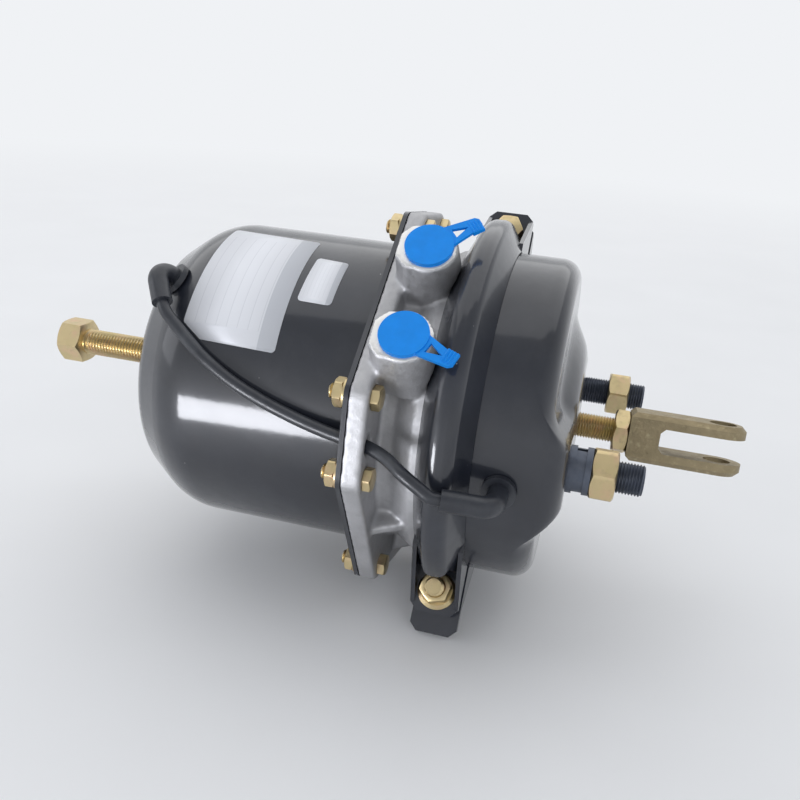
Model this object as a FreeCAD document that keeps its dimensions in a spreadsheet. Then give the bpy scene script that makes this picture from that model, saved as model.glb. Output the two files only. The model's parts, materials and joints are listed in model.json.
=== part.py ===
import FreeCAD, Part
import math
import os
import Sketcher
from types import SimpleNamespace

# A combination air brake chamber: a diaphragm service chamber in front and a spring chamber behind it.
# The frame's origin is the middle of the mounting face, on the push rod's axis. +X points out of the
# mounting face towards the clevis, and the two mounting studs lie along Y. Stations are distances
# behind the mounting face, so a station's place on the X axis is minus its value.
# Angles round the axis count from -Y towards +Z.

V = FreeCAD.Vector
doc = FreeCAD.newDocument("air_brake_chamber")

SIZES = [
    ("StudSpacing", 120.65, "between the axes of the two mounting studs"),
    ("StudDiameter", 16, "mounting stud thread"),
    ("StudReach", 36.5, "stud beyond the mounting face"),
    ("StudHeadDiameter", 22, "round stud head inside the housing"),
    ("StudHeadHeight", 5, "stud head"),
    ("StudChamfer", 1.2, "lead chamfer of studs and rod"),
    ("StudNutAcross", 24, "across the flats of the stud nuts"),
    ("StudNutHeight", 12.4, "stud nut"),
    ("FarNutStation", 15, "far nut, run on loosely, from the mounting face"),
    ("WasherDiameter", 24, "plain washer on the near stud"),
    ("WasherHeight", 3, "plain washer"),
    ("LockWasherHeight", 5, "spring washer between the plain ones"),
    ("LockWasherGap", 2.5, "cut in the spring washer"),
    ("ThreadGap", 0.1, "play between a thread and the hole or nut round it"),
    ("SeatGap", 0.05, "play of a piece seated in another of the same body"),
    ("RunGap", 0.05, "play of a running fit"),
    ("FreeGap", 0.3, "play of pieces that move past each other or lie side by side"),
    ("RodDiameter", 14, "push rod"),
    ("RodInClevis", 13.7, "push rod inside the clevis"),
    ("JamNutAcross", 22, "across the flats of the jam nut"),
    ("JamNutHeight", 8, "jam nut"),
    ("ClevisBase", 28.3, "rear face of the clevis, beyond the mounting face"),
    ("ClevisWidth", 25, "clevis across, at right angles to its pin"),
    ("ClevisHeight", 27, "clevis along its pin"),
    ("ClevisSlot", 13.6, "gap between the clevis ears"),
    ("ClevisSlotBase", 44.5, "bottom of the slot, beyond the mounting face"),
    ("ClevisSlotRound", 2.5, "corners of the slot's bottom"),
    ("ClevisPinStation", 76.5, "pin axis, beyond the mounting face"),
    ("ClevisPinDiameter", 14.2, "pin holes"),
    ("ClevisTurn", -13, "how far the clevis is turned on the rod from square to the studs"),
    ("ClevisEdge", 2.5, "broken edges of the clevis"),
    ("SteelWall", 3, "sheet of both pressed housings"),
    ("BowlRadius", 89.5, "front housing outside"),
    ("BowlStep", 10.5, "front ring of the bowl behind the mounting face"),
    ("BowlKnee", 11, "outer rounding of the front ring"),
    ("PlateauRadius", 44, "raised middle of the mounting face"),
    ("PlateauFlare", 14, "growth of the middle down to the front ring"),
    ("BarHalfWidth", 17, "raised bar under the studs, half its width on the face"),
    ("BarFlare", 12, "growth of the bar's half width over the step"),
    ("BarDepth", 26, "depth the bar is formed to"),
    ("BarKnee", 12, "rounding of the bar's ends"),
    ("ClampStation", 57.5, "middle plane of the clamp band"),
    ("RimHeight", 5, "rims held by the clamp band, beyond the bowl's outside"),
    ("BeadHalf", 1.5, "middle plane of the clamp to the casting's rim"),
    ("RimSheet", 3.5, "front housing's rim, measured along the axis"),
    ("CrownRoom", 8.5, "rims to the inside of the clamp band's crown"),
    ("BandCrownHalf", 5, "half the flat of the band's crown"),
    ("BandCrownRound", 6, "rounding of the crown"),
    ("BandLean", 27, "lean of the band's flanks from square to the axis, degrees"),
    ("BandWall", 3, "sheet of the clamp band"),
    ("BandHold", 7, "how far the band's rear flank reaches in past the rims"),
    ("SplitAngle", -55, "split of the clamp band nearest the viewer, degrees"),
    ("LugGap", 10, "between the two lugs of a split"),
    ("LugThickness", 4.5, "clamp lug"),
    ("LugOverlap", 3.5, "lug's inner edge outside the band's rear foot"),
    ("LugHalfWidth", 13.1, "clamp lug, half its width"),
    ("WebThickness", 2.3, "side webs that join a lug to the band's flanks"),
    ("LugMargin", 12.4, "clamp bolt's axis to the lug's outer edge"),
    ("LongLugMargin", 23.4, "clamp bolt's axis to the long lug's outer edge"),
    ("LugRound", 4, "outer corners of the lugs"),
    ("ClampBoltInset", 0.4, "clamp bolts inside the crown's radius"),
    ("ClampBoltDiameter", 10, "clamp bolt"),
    ("ClampNutAcross", 15, "clamp nut and bolt head"),
    ("ClampNutHeight", 10, "clamp nut"),
    ("ClampHeadHeight", 6.4, "clamp bolt head"),
    ("ClampFlangeDiameter", 21, "flange of the clamp nut"),
    ("ClampFlangeHeight", 2.2, "flange of the clamp nut at its edge"),
    ("ClampBoltBeyond", 6, "clamp bolt beyond its nut"),
    ("NutRoom", 26, "length of crown cut away for the nut"),
    ("NutRoomHalf", 11.2, "half width of that cut"),
    ("FlangeStation", 94, "front of the casting's bolt flange"),
    ("FlangeThickness", 10, "bolt flange of the casting"),
    ("SteelFlange", 2.4, "bolt flange of the spring housing"),
    ("BoltRoom", 12, "flange bolts' axes outside the spring housing"),
    ("LobeRadius", 9, "flange outline round each bolt"),
    ("FlangeAngle", 52.5, "middle of the flange's bolt pattern, degrees"),
    ("PairInner", 33, "first bolt each side of that middle, degrees"),
    ("PairOuter", 57, "second bolt each side"),
    ("PairLow", 110, "third bolt each side"),
    ("PairLast", 147, "fourth bolt each side"),
    ("FlangeBoltDiameter", 8, "flange bolt"),
    ("FlangeBoltAcross", 11, "flange bolt heads, across the flats"),
    ("FlangeBoltHead", 4.2, "flange bolt head"),
    ("FlangeNutAcross", 13, "flange nuts, across the flats"),
    ("FlangeNutHeight", 5, "flange nut"),
    ("FlangeWasher", 1.6, "flange washer"),
    ("FlangeWasherDiameter", 14.5, "flange washer"),
    ("FlangeBoltBeyond", 2.6, "flange bolt beyond its nut"),
    ("NeckRadius", 80, "casting between flange and clamp"),
    ("NeckFront", 86, "station where the neck starts to flare"),
    ("FlareFront", 75, "station where the flare ends"),
    ("RibThickness", 6, "ribs behind the flare"),
    ("RibHeight", 13, "ribs at the flange, above the neck"),
    ("RibFront", 77, "station of the ribs' front end"),
    ("RibFrontHeight", 6, "ribs at their front end, above the neck"),
    ("SpigotGap", 0.4, "spigot and spring piston inside the housing's bore"),
    ("SpigotWall", 8.6, "wall of the spigot"),
    ("SpigotLength", 8, "spigot"),
    ("SealGrooveDepth", 2.2, "flange seal's groove"),
    ("SealGrooveWidth", 3.2, "flange seal's groove"),
    ("SealSection", 2.5, "flange seal's round section"),
    ("WallRear", 100, "rear face of the casting's middle wall"),
    ("WallFront", 88, "front face of that wall"),
    ("CavityLedge", 4, "service cavity at the rim, inside the bowl's outside"),
    ("CavityTaper", 21.5, "service cavity, narrowing of its radius down to the wall"),
    ("BushWall", 5.95, "plunger bush"),
    ("BushFlange", 4, "plunger bush flange beyond the bush"),
    ("BushFlangeHeight", 3, "plunger bush flange"),
    ("PlungerRadius", 15, "plunger tube outside"),
    ("PlungerWall", 3.8, "plunger tube"),
    ("PlungerSealSection", 2.5, "plunger seals' round section"),
    ("PortAngle", 48.5, "direction both air ports point in, degrees"),
    ("PortSpread", 25.5, "each port from the middle of the pair"),
    ("PortStation", 82, "air ports"),
    ("PortProud", 3.5, "port faces above the clamp band's crown"),
    ("PortBore", 14.5, "port thread's minor diameter"),
    ("PortDepth", 16, "depth of the port threads"),
    ("BossRadius", 14, "round front of a port boss"),
    ("BossHalfWidth", 13, "square rear of a port boss, half its width"),
    ("BossRear", 16, "rear of a port boss behind its axis"),
    ("BossCorner", 6, "cut corners at the rear of a port boss"),
    ("BossRoot", 76, "height from the axis at which the bosses end in the casting"),
    ("BossDraft", 3, "draft of the port bosses, degrees"),
    ("PassageDiameter", 6, "air passage under the service port"),
    ("SpringPassageDiameter", 5, "air passage to the spring chamber"),
    ("SpringPassageInset", 10.6, "passage to the spring chamber, inside the spigot's radius"),
    ("CapDiameter", 24, "port cap"),
    ("CapThickness", 2.4, "port cap"),
    ("CapPlugDiameter", 13.6, "plug of a port cap"),
    ("CapPlugDepth", 9, "plug of a port cap"),
    ("CapTabReach", 28, "pull tab from the cap's middle"),
    ("CapTabWidth", 6.6, "pull tab at its end"),
    ("CapTabRoot", 13, "pull tab where it leaves the cap"),
    ("CapTabThickness", 1.8, "pull tab"),
    ("UpperTabTurn", 40, "upper cap's tab from the X axis, degrees"),
    ("LowerTabTurn", -23, "lower cap's tab from the X axis, degrees"),
    ("DiaphragmWeb", 3, "diaphragm"),
    ("PlateRoom", 4, "pressure plate inside the cavity's floor"),
    ("PlateThickness", 3.2, "pressure plate"),
    ("PlateLip", 4, "height of the pressure plate's raised edge"),
    ("GuideRadius", 11, "push rod guide in the mounting face"),
    ("GuideFlange", 5, "guide's flange beyond the guide"),
    ("GuideLength", 10, "push rod guide"),
    ("ReturnWire", 4.4, "return spring wire"),
    ("ReturnLarge", 46, "return spring at the plate, mean radius"),
    ("ReturnSmall", 30, "return spring at the mounting face, mean radius"),
    ("ReturnHalfTurns", 8, "half turns of the return spring"),
    ("SpringHousingRadius", 86, "spring housing outside"),
    ("EndCone", 12, "length of the end cone next to the flat end"),
    ("HousingEndRadius", 37, "flat end, radius"),
    ("SideCone", 25, "length of the cone next to the cylinder"),
    ("HousingBendRadius", 67.5, "end cone there, radius"),
    ("HousingShoulder", 209, "station where the end cone meets the cylinder"),
    ("EndRound", 12, "rounding of the flat end"),
    ("BendRound", 18, "rounding of the bend"),
    ("ShoulderRound", 36, "rounding of the shoulder"),
    ("PistonRoom", 48, "held back piston in front of the housing's shoulder"),
    ("PistonWeb", 6, "spring piston's plate"),
    ("PistonSkirt", 34, "length of the spring piston's skirt"),
    ("SkirtWall", 6.1, "wall of the spring piston's skirt"),
    ("HubWall", 4.95, "spring piston's hub round the plunger tube"),
    ("HubRear", 6, "hub behind the plate"),
    ("HubFront", 6, "hub in front of the plate"),
    ("PistonSealWidth", 6, "piston seal's groove"),
    ("PistonSealDepth", 3.6, "piston seal's groove"),
    ("GuideRingWidth", 8, "guide ring's groove"),
    ("GuideRingDepth", 2, "guide ring's groove"),
    ("SealLand", 7, "front of the piston to its seal groove"),
    ("RingLand", 19, "front of the piston to its guide ring groove"),
    ("PowerWire", 11, "power spring wire"),
    ("PowerRoom", 9, "power spring's wire inside the piston's skirt"),
    ("PowerHalfTurns", 7, "half turns of the power spring"),
    ("SeatThickness", 3, "power spring's seat"),
    ("SeatWidth", 20, "power spring's seat, width of the ring"),
    ("SeatMargin", 2.5, "power spring's seat beyond the spring's wire"),
    ("ReleaseDiameter", 16, "release bolt"),
    ("ReleaseReach", 61.2, "underside of the release bolt's head behind the housing"),
    ("ReleaseHeadHeight", 15.4, "release bolt's head"),
    ("ReleaseHeadAcross", 24, "release bolt's head"),
    ("ReleaseEndNutHeight", 8.6, "that nut"),
    ("ThrustWasherHeight", 4, "thrust washer on the bolt's end"),
    ("ReleaseBushRadius", 12, "release bush in the housing's end"),
    ("ReleaseBushLength", 22, "release bush"),
    ("HoseDiameter", 6.5, "breather tube"),
    ("HoseSocket", 7, "breather tube inside an elbow"),
    ("HoseLead", 5, "straight breather tube outside an elbow"),
    ("HoseHoleRadius", 5.5, "hole for the breather tube through the flanges"),
    ("HoseHoleRoom", 9, "that hole's axis outside the spring housing"),
    ("HoseAngle", 5.5, "that hole's angle"),
    ("ElbowDiameter", 10.6, "rubber elbows"),
    ("ElbowBend", 8, "bend of the rubber elbows"),
    ("ElbowFootDiameter", 17, "foot of a rubber elbow on its housing"),
    ("ElbowFootHeight", 3, "foot of a rubber elbow"),
    ("NippleDiameter", 6, "vent nipples"),
    ("NippleBore", 3, "vent nipples"),
    ("FrontVentStation", 30, "vent of the front housing"),
    ("FrontVentAngle", -3, "vent of the front housing, degrees"),
    ("RearVentBehind", 9, "vent of the spring housing behind its shoulder"),
    ("RearVentAngle", 52, "vent of the spring housing, degrees"),
    ("RearElbowRise", 15.5, "rear elbow's corner above its foot"),
    ("RearElbowLead", 2.8, "rear elbow's end in front of its vent"),
    ("RearElbowRoom", 1.7, "rear elbow's tube clear of the spring housing"),
    ("RearElbowAngle", 38.4, "rear elbow's end, angle round the axis"),
    ("FrontElbowReach", 24, "front elbow's end behind its vent"),
    ("FrontElbowDrop", 4, "front elbow's corner inside its end's radius"),
    ("HoseRoom", 0.8, "breather tube clear of the spring housing"),
]


class Size:
    """A number of the sheet, or one worked out from such numbers, with the formula that gives it."""

    def __init__(self, value, formula):
        self.value = float(value)
        self.formula = formula

    def __add__(self, other):
        other = as_size(other)
        return Size(self.value + other.value, "(%s + %s)" % (self.formula, other.formula))

    def __sub__(self, other):
        other = as_size(other)
        return Size(self.value - other.value, "(%s - %s)" % (self.formula, other.formula))

    def __mul__(self, other):
        other = as_size(other)
        return Size(self.value * other.value, "(%s * %s)" % (self.formula, other.formula))

    def __truediv__(self, other):
        other = as_size(other)
        return Size(self.value / other.value, "(%s / %s)" % (self.formula, other.formula))

    def __neg__(self):
        return Size(-self.value, "(0 - %s)" % self.formula)

    __radd__ = __add__
    __rmul__ = __mul__

    def __rsub__(self, other):
        return as_size(other) - self


def as_size(number):
    if isinstance(number, Size):
        return number
    return Size(number, "(%r)" % float(number))


def sine(angle):
    angle = as_size(angle)
    return Size(math.sin(math.radians(angle.value)), "sin(%s * 1 deg)" % angle.formula)


def cosine(angle):
    angle = as_size(angle)
    return Size(math.cos(math.radians(angle.value)), "cos(%s * 1 deg)" % angle.formula)


def tangent(angle):
    return sine(angle) / cosine(angle)


def root(number):
    number = as_size(number)
    return Size(math.sqrt(number.value), "sqrt(%s)" % number.formula)


def write_sheet():
    sheet = doc.addObject("Spreadsheet::Sheet", "Sizes")
    found = SimpleNamespace()
    for row, (alias, value, meaning) in enumerate(SIZES, start=1):
        sheet.set("A%d" % row, meaning)
        sheet.set("B%d" % row, "%g" % value)
        sheet.setAlias("B%d" % row, alias)
        setattr(found, alias, Size(value, "Sizes." + alias))
    doc.recompute()
    return found


size = write_sheet()


def derive(size):
    """Sizes that follow from others, so that what fits together keeps fitting."""
    size.RimRadius = size.BowlRadius + size.RimHeight
    size.BandCrownRadius = size.RimRadius + size.CrownRoom + size.BandWall
    size.BandRearFoot = size.RimRadius - size.BandHold
    size.BandFrontFoot = size.BowlRadius + size.FreeGap * 2
    size.LugFoot = size.BandRearFoot + size.LugOverlap
    size.ClampBoltRadius = size.BandCrownRadius - size.ClampBoltInset
    size.LugReach = size.ClampBoltRadius + size.LugMargin
    size.LongLugReach = size.ClampBoltRadius + size.LongLugMargin
    size.CavityMouth = size.BowlRadius - size.CavityLedge
    size.CavityFloor = size.CavityMouth - size.CavityTaper
    size.PlateRadius = size.CavityFloor - size.PlateRoom
    size.PortHeight = size.BandCrownRadius + size.PortProud
    size.BoltCircle = size.SpringHousingRadius + size.BoltRoom
    size.HoseHoleCircle = size.SpringHousingRadius + size.HoseHoleRoom
    size.HousingBore = size.SpringHousingRadius - size.SteelWall
    size.SpigotRadius = size.HousingBore - size.SpigotGap
    size.SpigotInner = size.SpigotRadius - size.SpigotWall
    size.SealGrooveRadius = size.SpigotRadius - size.SealGrooveDepth
    size.SpringPassageHeight = size.SpigotRadius - size.SpringPassageInset
    size.HousingBend = size.HousingShoulder + size.SideCone
    size.HousingEnd = size.HousingBend + size.EndCone
    size.RearVentStation = size.HousingShoulder + size.RearVentBehind
    size.PistonStation = size.HousingShoulder - size.PistonRoom
    size.PistonRadius = size.HousingBore - size.SpigotGap
    size.SkirtInner = size.PistonRadius - size.SkirtWall
    size.PowerRadius = size.SkirtInner - size.PowerRoom - size.PowerWire / 2
    size.SeatOuter = size.PowerRadius + size.PowerWire / 2 + size.SeatMargin
    slope = (size.SpringHousingRadius - size.HousingBendRadius) / size.SideCone
    cone_wall = size.SteelWall * root(slope * slope + 1)
    inward = size.SpringHousingRadius - cone_wall - size.FreeGap - size.SeatOuter
    size.SeatStation = size.HousingShoulder + inward / slope
    size.SeatInner = size.SeatOuter - size.SeatWidth
    size.PlungerBore = size.PlungerRadius - size.PlungerWall
    size.BushRadius = size.PlungerRadius + size.RunGap + size.BushWall
    size.HubRadius = size.PlungerRadius + size.SeatGap + size.HubWall
    size.ReleaseEndNutRadius = size.PlungerBore - size.FreeGap * 2
    size.ReleaseHeadStation = size.HousingEnd + size.ReleaseReach
    size.RodEnd = size.ClevisBase + size.RodInClevis
    size.JamNutStation = size.ClevisBase - size.JamNutHeight - size.ThreadGap


derive(size)


# Places and shapes

def at(radius, angle):
    """The Y and Z of a point at a radius and an angle round the axis."""
    return -(as_size(radius) * cosine(angle)), as_size(radius) * sine(angle)


def vector(x, y, z):
    return V(as_size(x).value, as_size(y).value, as_size(z).value)


def bind(thing, prop, number):
    number = as_size(number)
    if "." not in prop and "[" not in prop:
        setattr(thing, prop, number.value)
    thing.setExpression(prop, number.formula)


def place(thing, x=0, y=0, z=0, axis=None, angle=0, prop="Placement"):
    angle = as_size(angle)
    turn = FreeCAD.Rotation(axis or V(0, 0, 1), angle.value)
    setattr(thing, prop, FreeCAD.Placement(vector(x, y, z), turn))
    for name, number in (("x", x), ("y", y), ("z", z)):
        if isinstance(number, Size):
            thing.setExpression("%s.Base.%s" % (prop, name), number.formula)
    if "Sizes." in angle.formula:
        thing.setExpression("%s.Rotation.Angle" % prop, angle.formula)


def new_body(label):
    body = doc.addObject("PartDesign::Body", label)
    body.Label = label
    return body


def new_sketch(body, name, role="XY_Plane"):
    sketch = body.newObject("Sketcher::SketchObject", name)
    planes = [part for part in body.Origin.OriginFeatures if part.Role == role]
    sketch.AttachmentSupport = [(planes[0], "")]
    sketch.MapMode = "FlatFace"
    return sketch


def pin_point(sketch, geometry, end, corner):
    for kind, number in zip(("DistanceX", "DistanceY"), corner):
        number = as_size(number)
        rule = Sketcher.Constraint(kind, -1, 1, geometry, end, number.value)
        index = sketch.addConstraint(rule)
        sketch.setExpression("Constraints[%d]" % index, number.formula)


def draw_outline(sketch, corners):
    corners = [(as_size(a), as_size(b)) for a, b in corners]
    first = sketch.GeometryCount
    count = len(corners)
    points = [V(a.value, b.value, 0) for a, b in corners]
    for index in range(count):
        sketch.addGeometry(Part.LineSegment(points[index], points[(index + 1) % count]), False)
    for index in range(count):
        following = first + (index + 1) % count
        sketch.addConstraint(Sketcher.Constraint("Coincident", first + index, 2, following, 1))
    for index, corner in enumerate(corners):
        pin_point(sketch, first + index, 1, corner)


def draw_circle(sketch, centre, radius):
    radius = as_size(radius)
    ring = Part.Circle(vector(centre[0], centre[1], 0), V(0, 0, 1), radius.value)
    index = sketch.addGeometry(ring, False)
    pin_point(sketch, index, 3, centre)
    rule = sketch.addConstraint(Sketcher.Constraint("Radius", index, radius.value))
    sketch.setExpression("Constraints[%d]" % rule, radius.formula)


def turned(body, name, corners, cut=False, angle=360):
    """Turn an outline of station and radius about the X axis, to add to the body or to cut it."""
    sketch = new_sketch(body, name + "_outline")
    draw_outline(sketch, corners)
    before = body.Shape.Volume if cut else 0
    feature = body.newObject("PartDesign::" + ("Groove" if cut else "Revolution"), name)
    feature.Profile = sketch
    feature.ReferenceAxis = (sketch, ["H_Axis"])
    feature.Angle = angle
    doc.recompute()
    if cut and not feature.Shape.Volume < before - 1e-3:
        raise RuntimeError("%s cuts nothing" % name)
    return feature


def extrude(body, name, sketch, length, cut=False, both=False, reverse=False, draft=0):
    before = body.Shape.Volume if cut else 0
    feature = body.newObject("PartDesign::" + ("Pocket" if cut else "Pad"), name)
    feature.Profile = sketch
    bind(feature, "Length", length)
    feature.Midplane = both
    feature.Reversed = reverse
    bind(feature, "TaperAngle", draft)
    doc.recompute()
    if cut and not feature.Shape.Volume < before - 1e-3:
        raise RuntimeError("%s cuts nothing" % name)
    return feature


def ring_edges(shape, rings):
    """Names of the round edges about the X axis at the given stations and radii."""
    names = []
    for index, edge in enumerate(shape.Edges, start=1):
        if not hasattr(edge.Curve, "Radius"):
            continue
        centre = edge.Curve.Center
        for x, radius in rings:
            near_x = abs(centre.x - as_size(x).value) < 1e-3
            near_r = abs(edge.Curve.Radius - as_size(radius).value) < 1e-3
            if near_x and near_r and math.hypot(centre.y, centre.z) < 1e-3:
                names.append("Edge%d" % index)
    return names


def rounded(body, name, rings, radius, kind="Fillet"):
    base = body.Tip
    names = ring_edges(base.Shape, rings)
    if len(names) < len(rings):
        raise RuntimeError("%s finds no edge" % name)
    feature = body.newObject("PartDesign::" + kind, name)
    feature.Base = (base, names)
    bind(feature, "Radius" if kind == "Fillet" else "Size", radius)
    doc.recompute()
    return feature


def cylinder(name, radius, length, x=0, y=0, z=0, axis=None, angle=0):
    thing = doc.addObject("Part::Cylinder", name)
    bind(thing, "Radius", radius)
    bind(thing, "Height", length)
    place(thing, x, y, z, axis, angle)
    return thing


def x_cylinder(name, radius, length, x=0, y=0, z=0):
    """A cylinder that starts at x and runs along +X."""
    return cylinder(name, radius, length, x, y, z, V(0, 1, 0), 90)


def cut_from(label, base, tools):
    thing = doc.addObject("Part::Cut", label)
    thing.Base = base
    if len(tools) == 1:
        thing.Tool = tools[0]
    else:
        thing.Tool = fuse(label + "_tools", tools)
    thing.Label = label
    doc.recompute()
    return thing


def fuse(label, parts):
    thing = doc.addObject("Part::MultiFuse", label)
    thing.Shapes = parts
    thing.Label = label
    doc.recompute()
    return thing


def hex_block(name, across, height, under=False):
    """A hexagon block along Z with turned corners on its top, and on its bottom too where asked."""
    corner = across / root(as_size(3))
    prism = doc.addObject("Part::Prism", name + "_hexagon")
    prism.Polygon = 6
    bind(prism, "Circumradius", corner)
    bind(prism, "Height", height)
    body = new_body(name + "_turned")
    bevel = (corner - across * 0.48) * 0.55
    low = bevel if under else as_size(0)
    inner = across * 0.48
    corners = [(0, 0), (0, inner if under else corner)]
    if under:
        corners.append((low, corner))
    corners += [(height - bevel, corner), (height, inner), (height, 0)]
    turned(body, name + "_shape", corners)
    place(body, 0, 0, 0, V(0, 1, 0), -90)
    common = doc.addObject("Part::Common", name + "_block")
    common.Base = prism
    common.Tool = body
    doc.recompute()
    return common


def copies(label, pattern, places):
    """One node that holds a separate copy of the pattern at each place."""
    doc.recompute()
    solids = []
    for placement in places:
        for solid in pattern.Shape.Solids:
            moved = solid.copy()
            moved.Placement = placement.multiply(moved.Placement)
            solids.append(moved)
    node = doc.addObject("Part::Feature", label)
    node.Shape = Part.makeCompound(solids)
    node.Label = label
    return node


ALONG_X = FreeCAD.Rotation(V(0, 1, 0), 90)
AGAINST_X = FreeCAD.Rotation(V(0, 1, 0), -90)
NODES = []


def keep(*things):
    NODES.extend(things)
    return things[0]


# Formulas shared by several pieces

band_slope = tangent(size.BandLean)
clamp_x = -size.ClampStation
flange_front_x = -size.FlangeStation
flange_rear_x = flange_front_x - size.FlangeThickness
steel_flange_x = flange_rear_x - size.SteelFlange


def band_half(radius):
    """Half the clamp band's outer width at a radius."""
    return size.BandCrownHalf + (size.BandCrownRadius - radius) * band_slope


def flank_radius(half):
    """The radius at which the clamp band's outer flank has this half width."""
    return size.BandCrownRadius - (half - size.BandCrownHalf) / band_slope


def channel_half(radius):
    """Half the width inside the clamp band at a radius."""
    return band_half(radius) - size.BandWall / cosine(size.BandLean)


def flank_half(radius):
    """Half the width of the clamped rims at a radius."""
    return channel_half(radius) - size.FreeGap


def bolt_angles():
    middle = size.FlangeAngle
    offsets = [-size.PairLow, -size.PairOuter, -size.PairInner, size.PairInner]
    offsets += [size.PairOuter, size.PairLow, size.PairLast]
    return [middle + offset for offset in offsets] + [middle - size.PairLast + 360]


def draw_flange_outline(sketch):
    """The taut outline round the bolt lobes: an arc at each bolt, joined by straight edges."""
    angles = bolt_angles()
    count = len(angles)
    radius = size.LobeRadius
    arcs = []
    for index, angle in enumerate(angles):
        before = angles[index - 1].value - (360 if index == 0 else 0)
        after = angles[(index + 1) % count].value + (360 if index == count - 1 else 0)
        start = math.pi - math.radians((angle.value + after) / 2)
        end = math.pi - math.radians((before + angle.value) / 2)
        y, z = at(size.BoltCircle, angle)
        ring = Part.Circle(vector(y, z, 0), V(0, 0, 1), radius.value)
        arcs.append(sketch.addGeometry(Part.ArcOfCircle(ring, start, end), False))
    for index in range(count):
        following = arcs[(index + 1) % count]
        start = sketch.Geometry[arcs[index]].StartPoint
        end = sketch.Geometry[following].EndPoint
        line = sketch.addGeometry(Part.LineSegment(start, end), False)
        sketch.addConstraint(Sketcher.Constraint("Tangent", arcs[index], 1, line, 1))
        sketch.addConstraint(Sketcher.Constraint("Tangent", line, 2, following, 2))
    for arc, angle in zip(arcs, angles):
        pin_point(sketch, arc, 3, at(size.BoltCircle, angle))
        rule = sketch.addConstraint(Sketcher.Constraint("Radius", arc, radius.value))
        sketch.setExpression("Constraints[%d]" % rule, radius.formula)


def cut_bolt_holes(body, name, x):
    """Bolt holes and the breather tube's hole, through the flange that starts at x."""
    sketch = new_sketch(body, name + "_places", "YZ_Plane")
    place(sketch, z=x, prop="AttachmentOffset")
    for angle in bolt_angles():
        draw_circle(sketch, at(size.BoltCircle, angle), size.FlangeBoltDiameter / 2 + size.FreeGap)
    draw_circle(sketch, at(size.HoseHoleCircle, size.HoseAngle), size.HoseHoleRadius)
    extrude(body, name, sketch, size.FlangeThickness * 4, cut=True, both=True)


# Front housing: a pressed bowl with a raised middle and a raised bar under the studs

def dish(name, inset):
    """The bowl's filled form, drawn in from the outside by the given amount."""
    lean = (root(size.BowlStep * size.BowlStep + size.PlateauFlare * size.PlateauFlare)
            - size.PlateauFlare) / size.BowlStep
    bar_lean = (root(size.BowlStep * size.BowlStep + size.BarFlare * size.BarFlare)
                - size.BarFlare) / size.BowlStep
    rim_x = clamp_x + flank_half(size.BowlRadius)
    edge = size.BowlRadius - inset
    ring_x = -size.BowlStep - inset
    low = new_body(name + "_low")
    turned(low, name + "_low_form", [
        (rim_x, 0),
        (rim_x, edge),
        (ring_x, edge),
        (ring_x, size.PlateauRadius + size.PlateauFlare - inset * lean),
        (-inset, size.PlateauRadius - inset * lean),
        (-inset, 0)])
    rounded(low, name + "_low_knee", [(ring_x, edge)], size.BowlKnee - inset)
    high = new_body(name + "_high")
    turned(high, name + "_high_form", [(rim_x, 0), (rim_x, edge), (-inset, edge), (-inset, 0)])
    rounded(high, name + "_high_knee", [(-inset, edge)], size.BarKnee - inset)
    bar = new_body(name + "_bar")
    sketch = new_sketch(bar, name + "_bar_section", "XZ_Plane")
    top = size.BarHalfWidth - inset * bar_lean
    foot = top + size.BarFlare * size.BarDepth / size.BowlStep
    depth_x = -size.BarDepth - inset
    draw_outline(sketch, [(-inset, -top), (-inset, top), (depth_x, foot), (depth_x, -foot)])
    extrude(bar, name + "_bar_form", sketch, size.BowlRadius * 2.2, both=True)
    raised = doc.addObject("Part::Common", name + "_raised")
    raised.Base = high
    raised.Tool = bar
    doc.recompute()
    return fuse(name + "_form", [low, raised])


def make_front_housing():
    wall = size.SteelWall
    rim = new_body("front_rim")
    bowl_foot = flank_half(size.BowlRadius)
    edge_half = flank_half(size.RimRadius)
    inner = size.BowlRadius - wall
    inner_half = edge_half - size.RimSheet + (size.RimRadius - inner) * band_slope
    turned(rim, "front_rim_form", [
        (clamp_x + bowl_foot, size.BowlRadius),
        (clamp_x + edge_half, size.RimRadius),
        (clamp_x + edge_half - size.RimSheet, size.RimRadius),
        (clamp_x + inner_half, inner),
        (clamp_x + bowl_foot + wall, inner),
        (clamp_x + bowl_foot + wall, size.BowlRadius)])
    outside = dish("bowl_outside", as_size(0))
    inside = dish("bowl_inside", wall)
    studs = size.StudDiameter / 2 + size.ThreadGap
    half = size.StudSpacing / 2
    y, z = at(size.BowlRadius - wall * 2, size.FrontVentAngle)
    vent = cylinder("front_vent_hole", size.NippleDiameter / 2 + size.SeatGap, wall * 3,
                    -size.FrontVentStation, y, z, V(1, 0, 0), 90 - size.FrontVentAngle)
    guide = x_cylinder("guide_hole", size.GuideRadius + size.SeatGap, wall * 4, -wall * 2)
    holes = [x_cylinder("stud_hole_far", studs, wall * 4, -wall * 2, half)]
    holes.append(x_cylinder("stud_hole_near", studs, wall * 4, -wall * 2, -half))
    shell = cut_from("bowl_shell", outside, [inside, guide, vent] + holes)
    housing = fuse("front_housing", [shell, rim])
    return keep(housing)


# Middle casting: bolt flange, neck, clamp rim, middle wall and two parallel port bosses

def rib_angles():
    middle = size.FlangeAngle
    low = (size.PairOuter + size.PairLow) / 2
    last = (size.PairLow + size.PairLast) / 2
    return [middle - low, middle + low, middle - last, middle + last, middle + 180]


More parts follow.
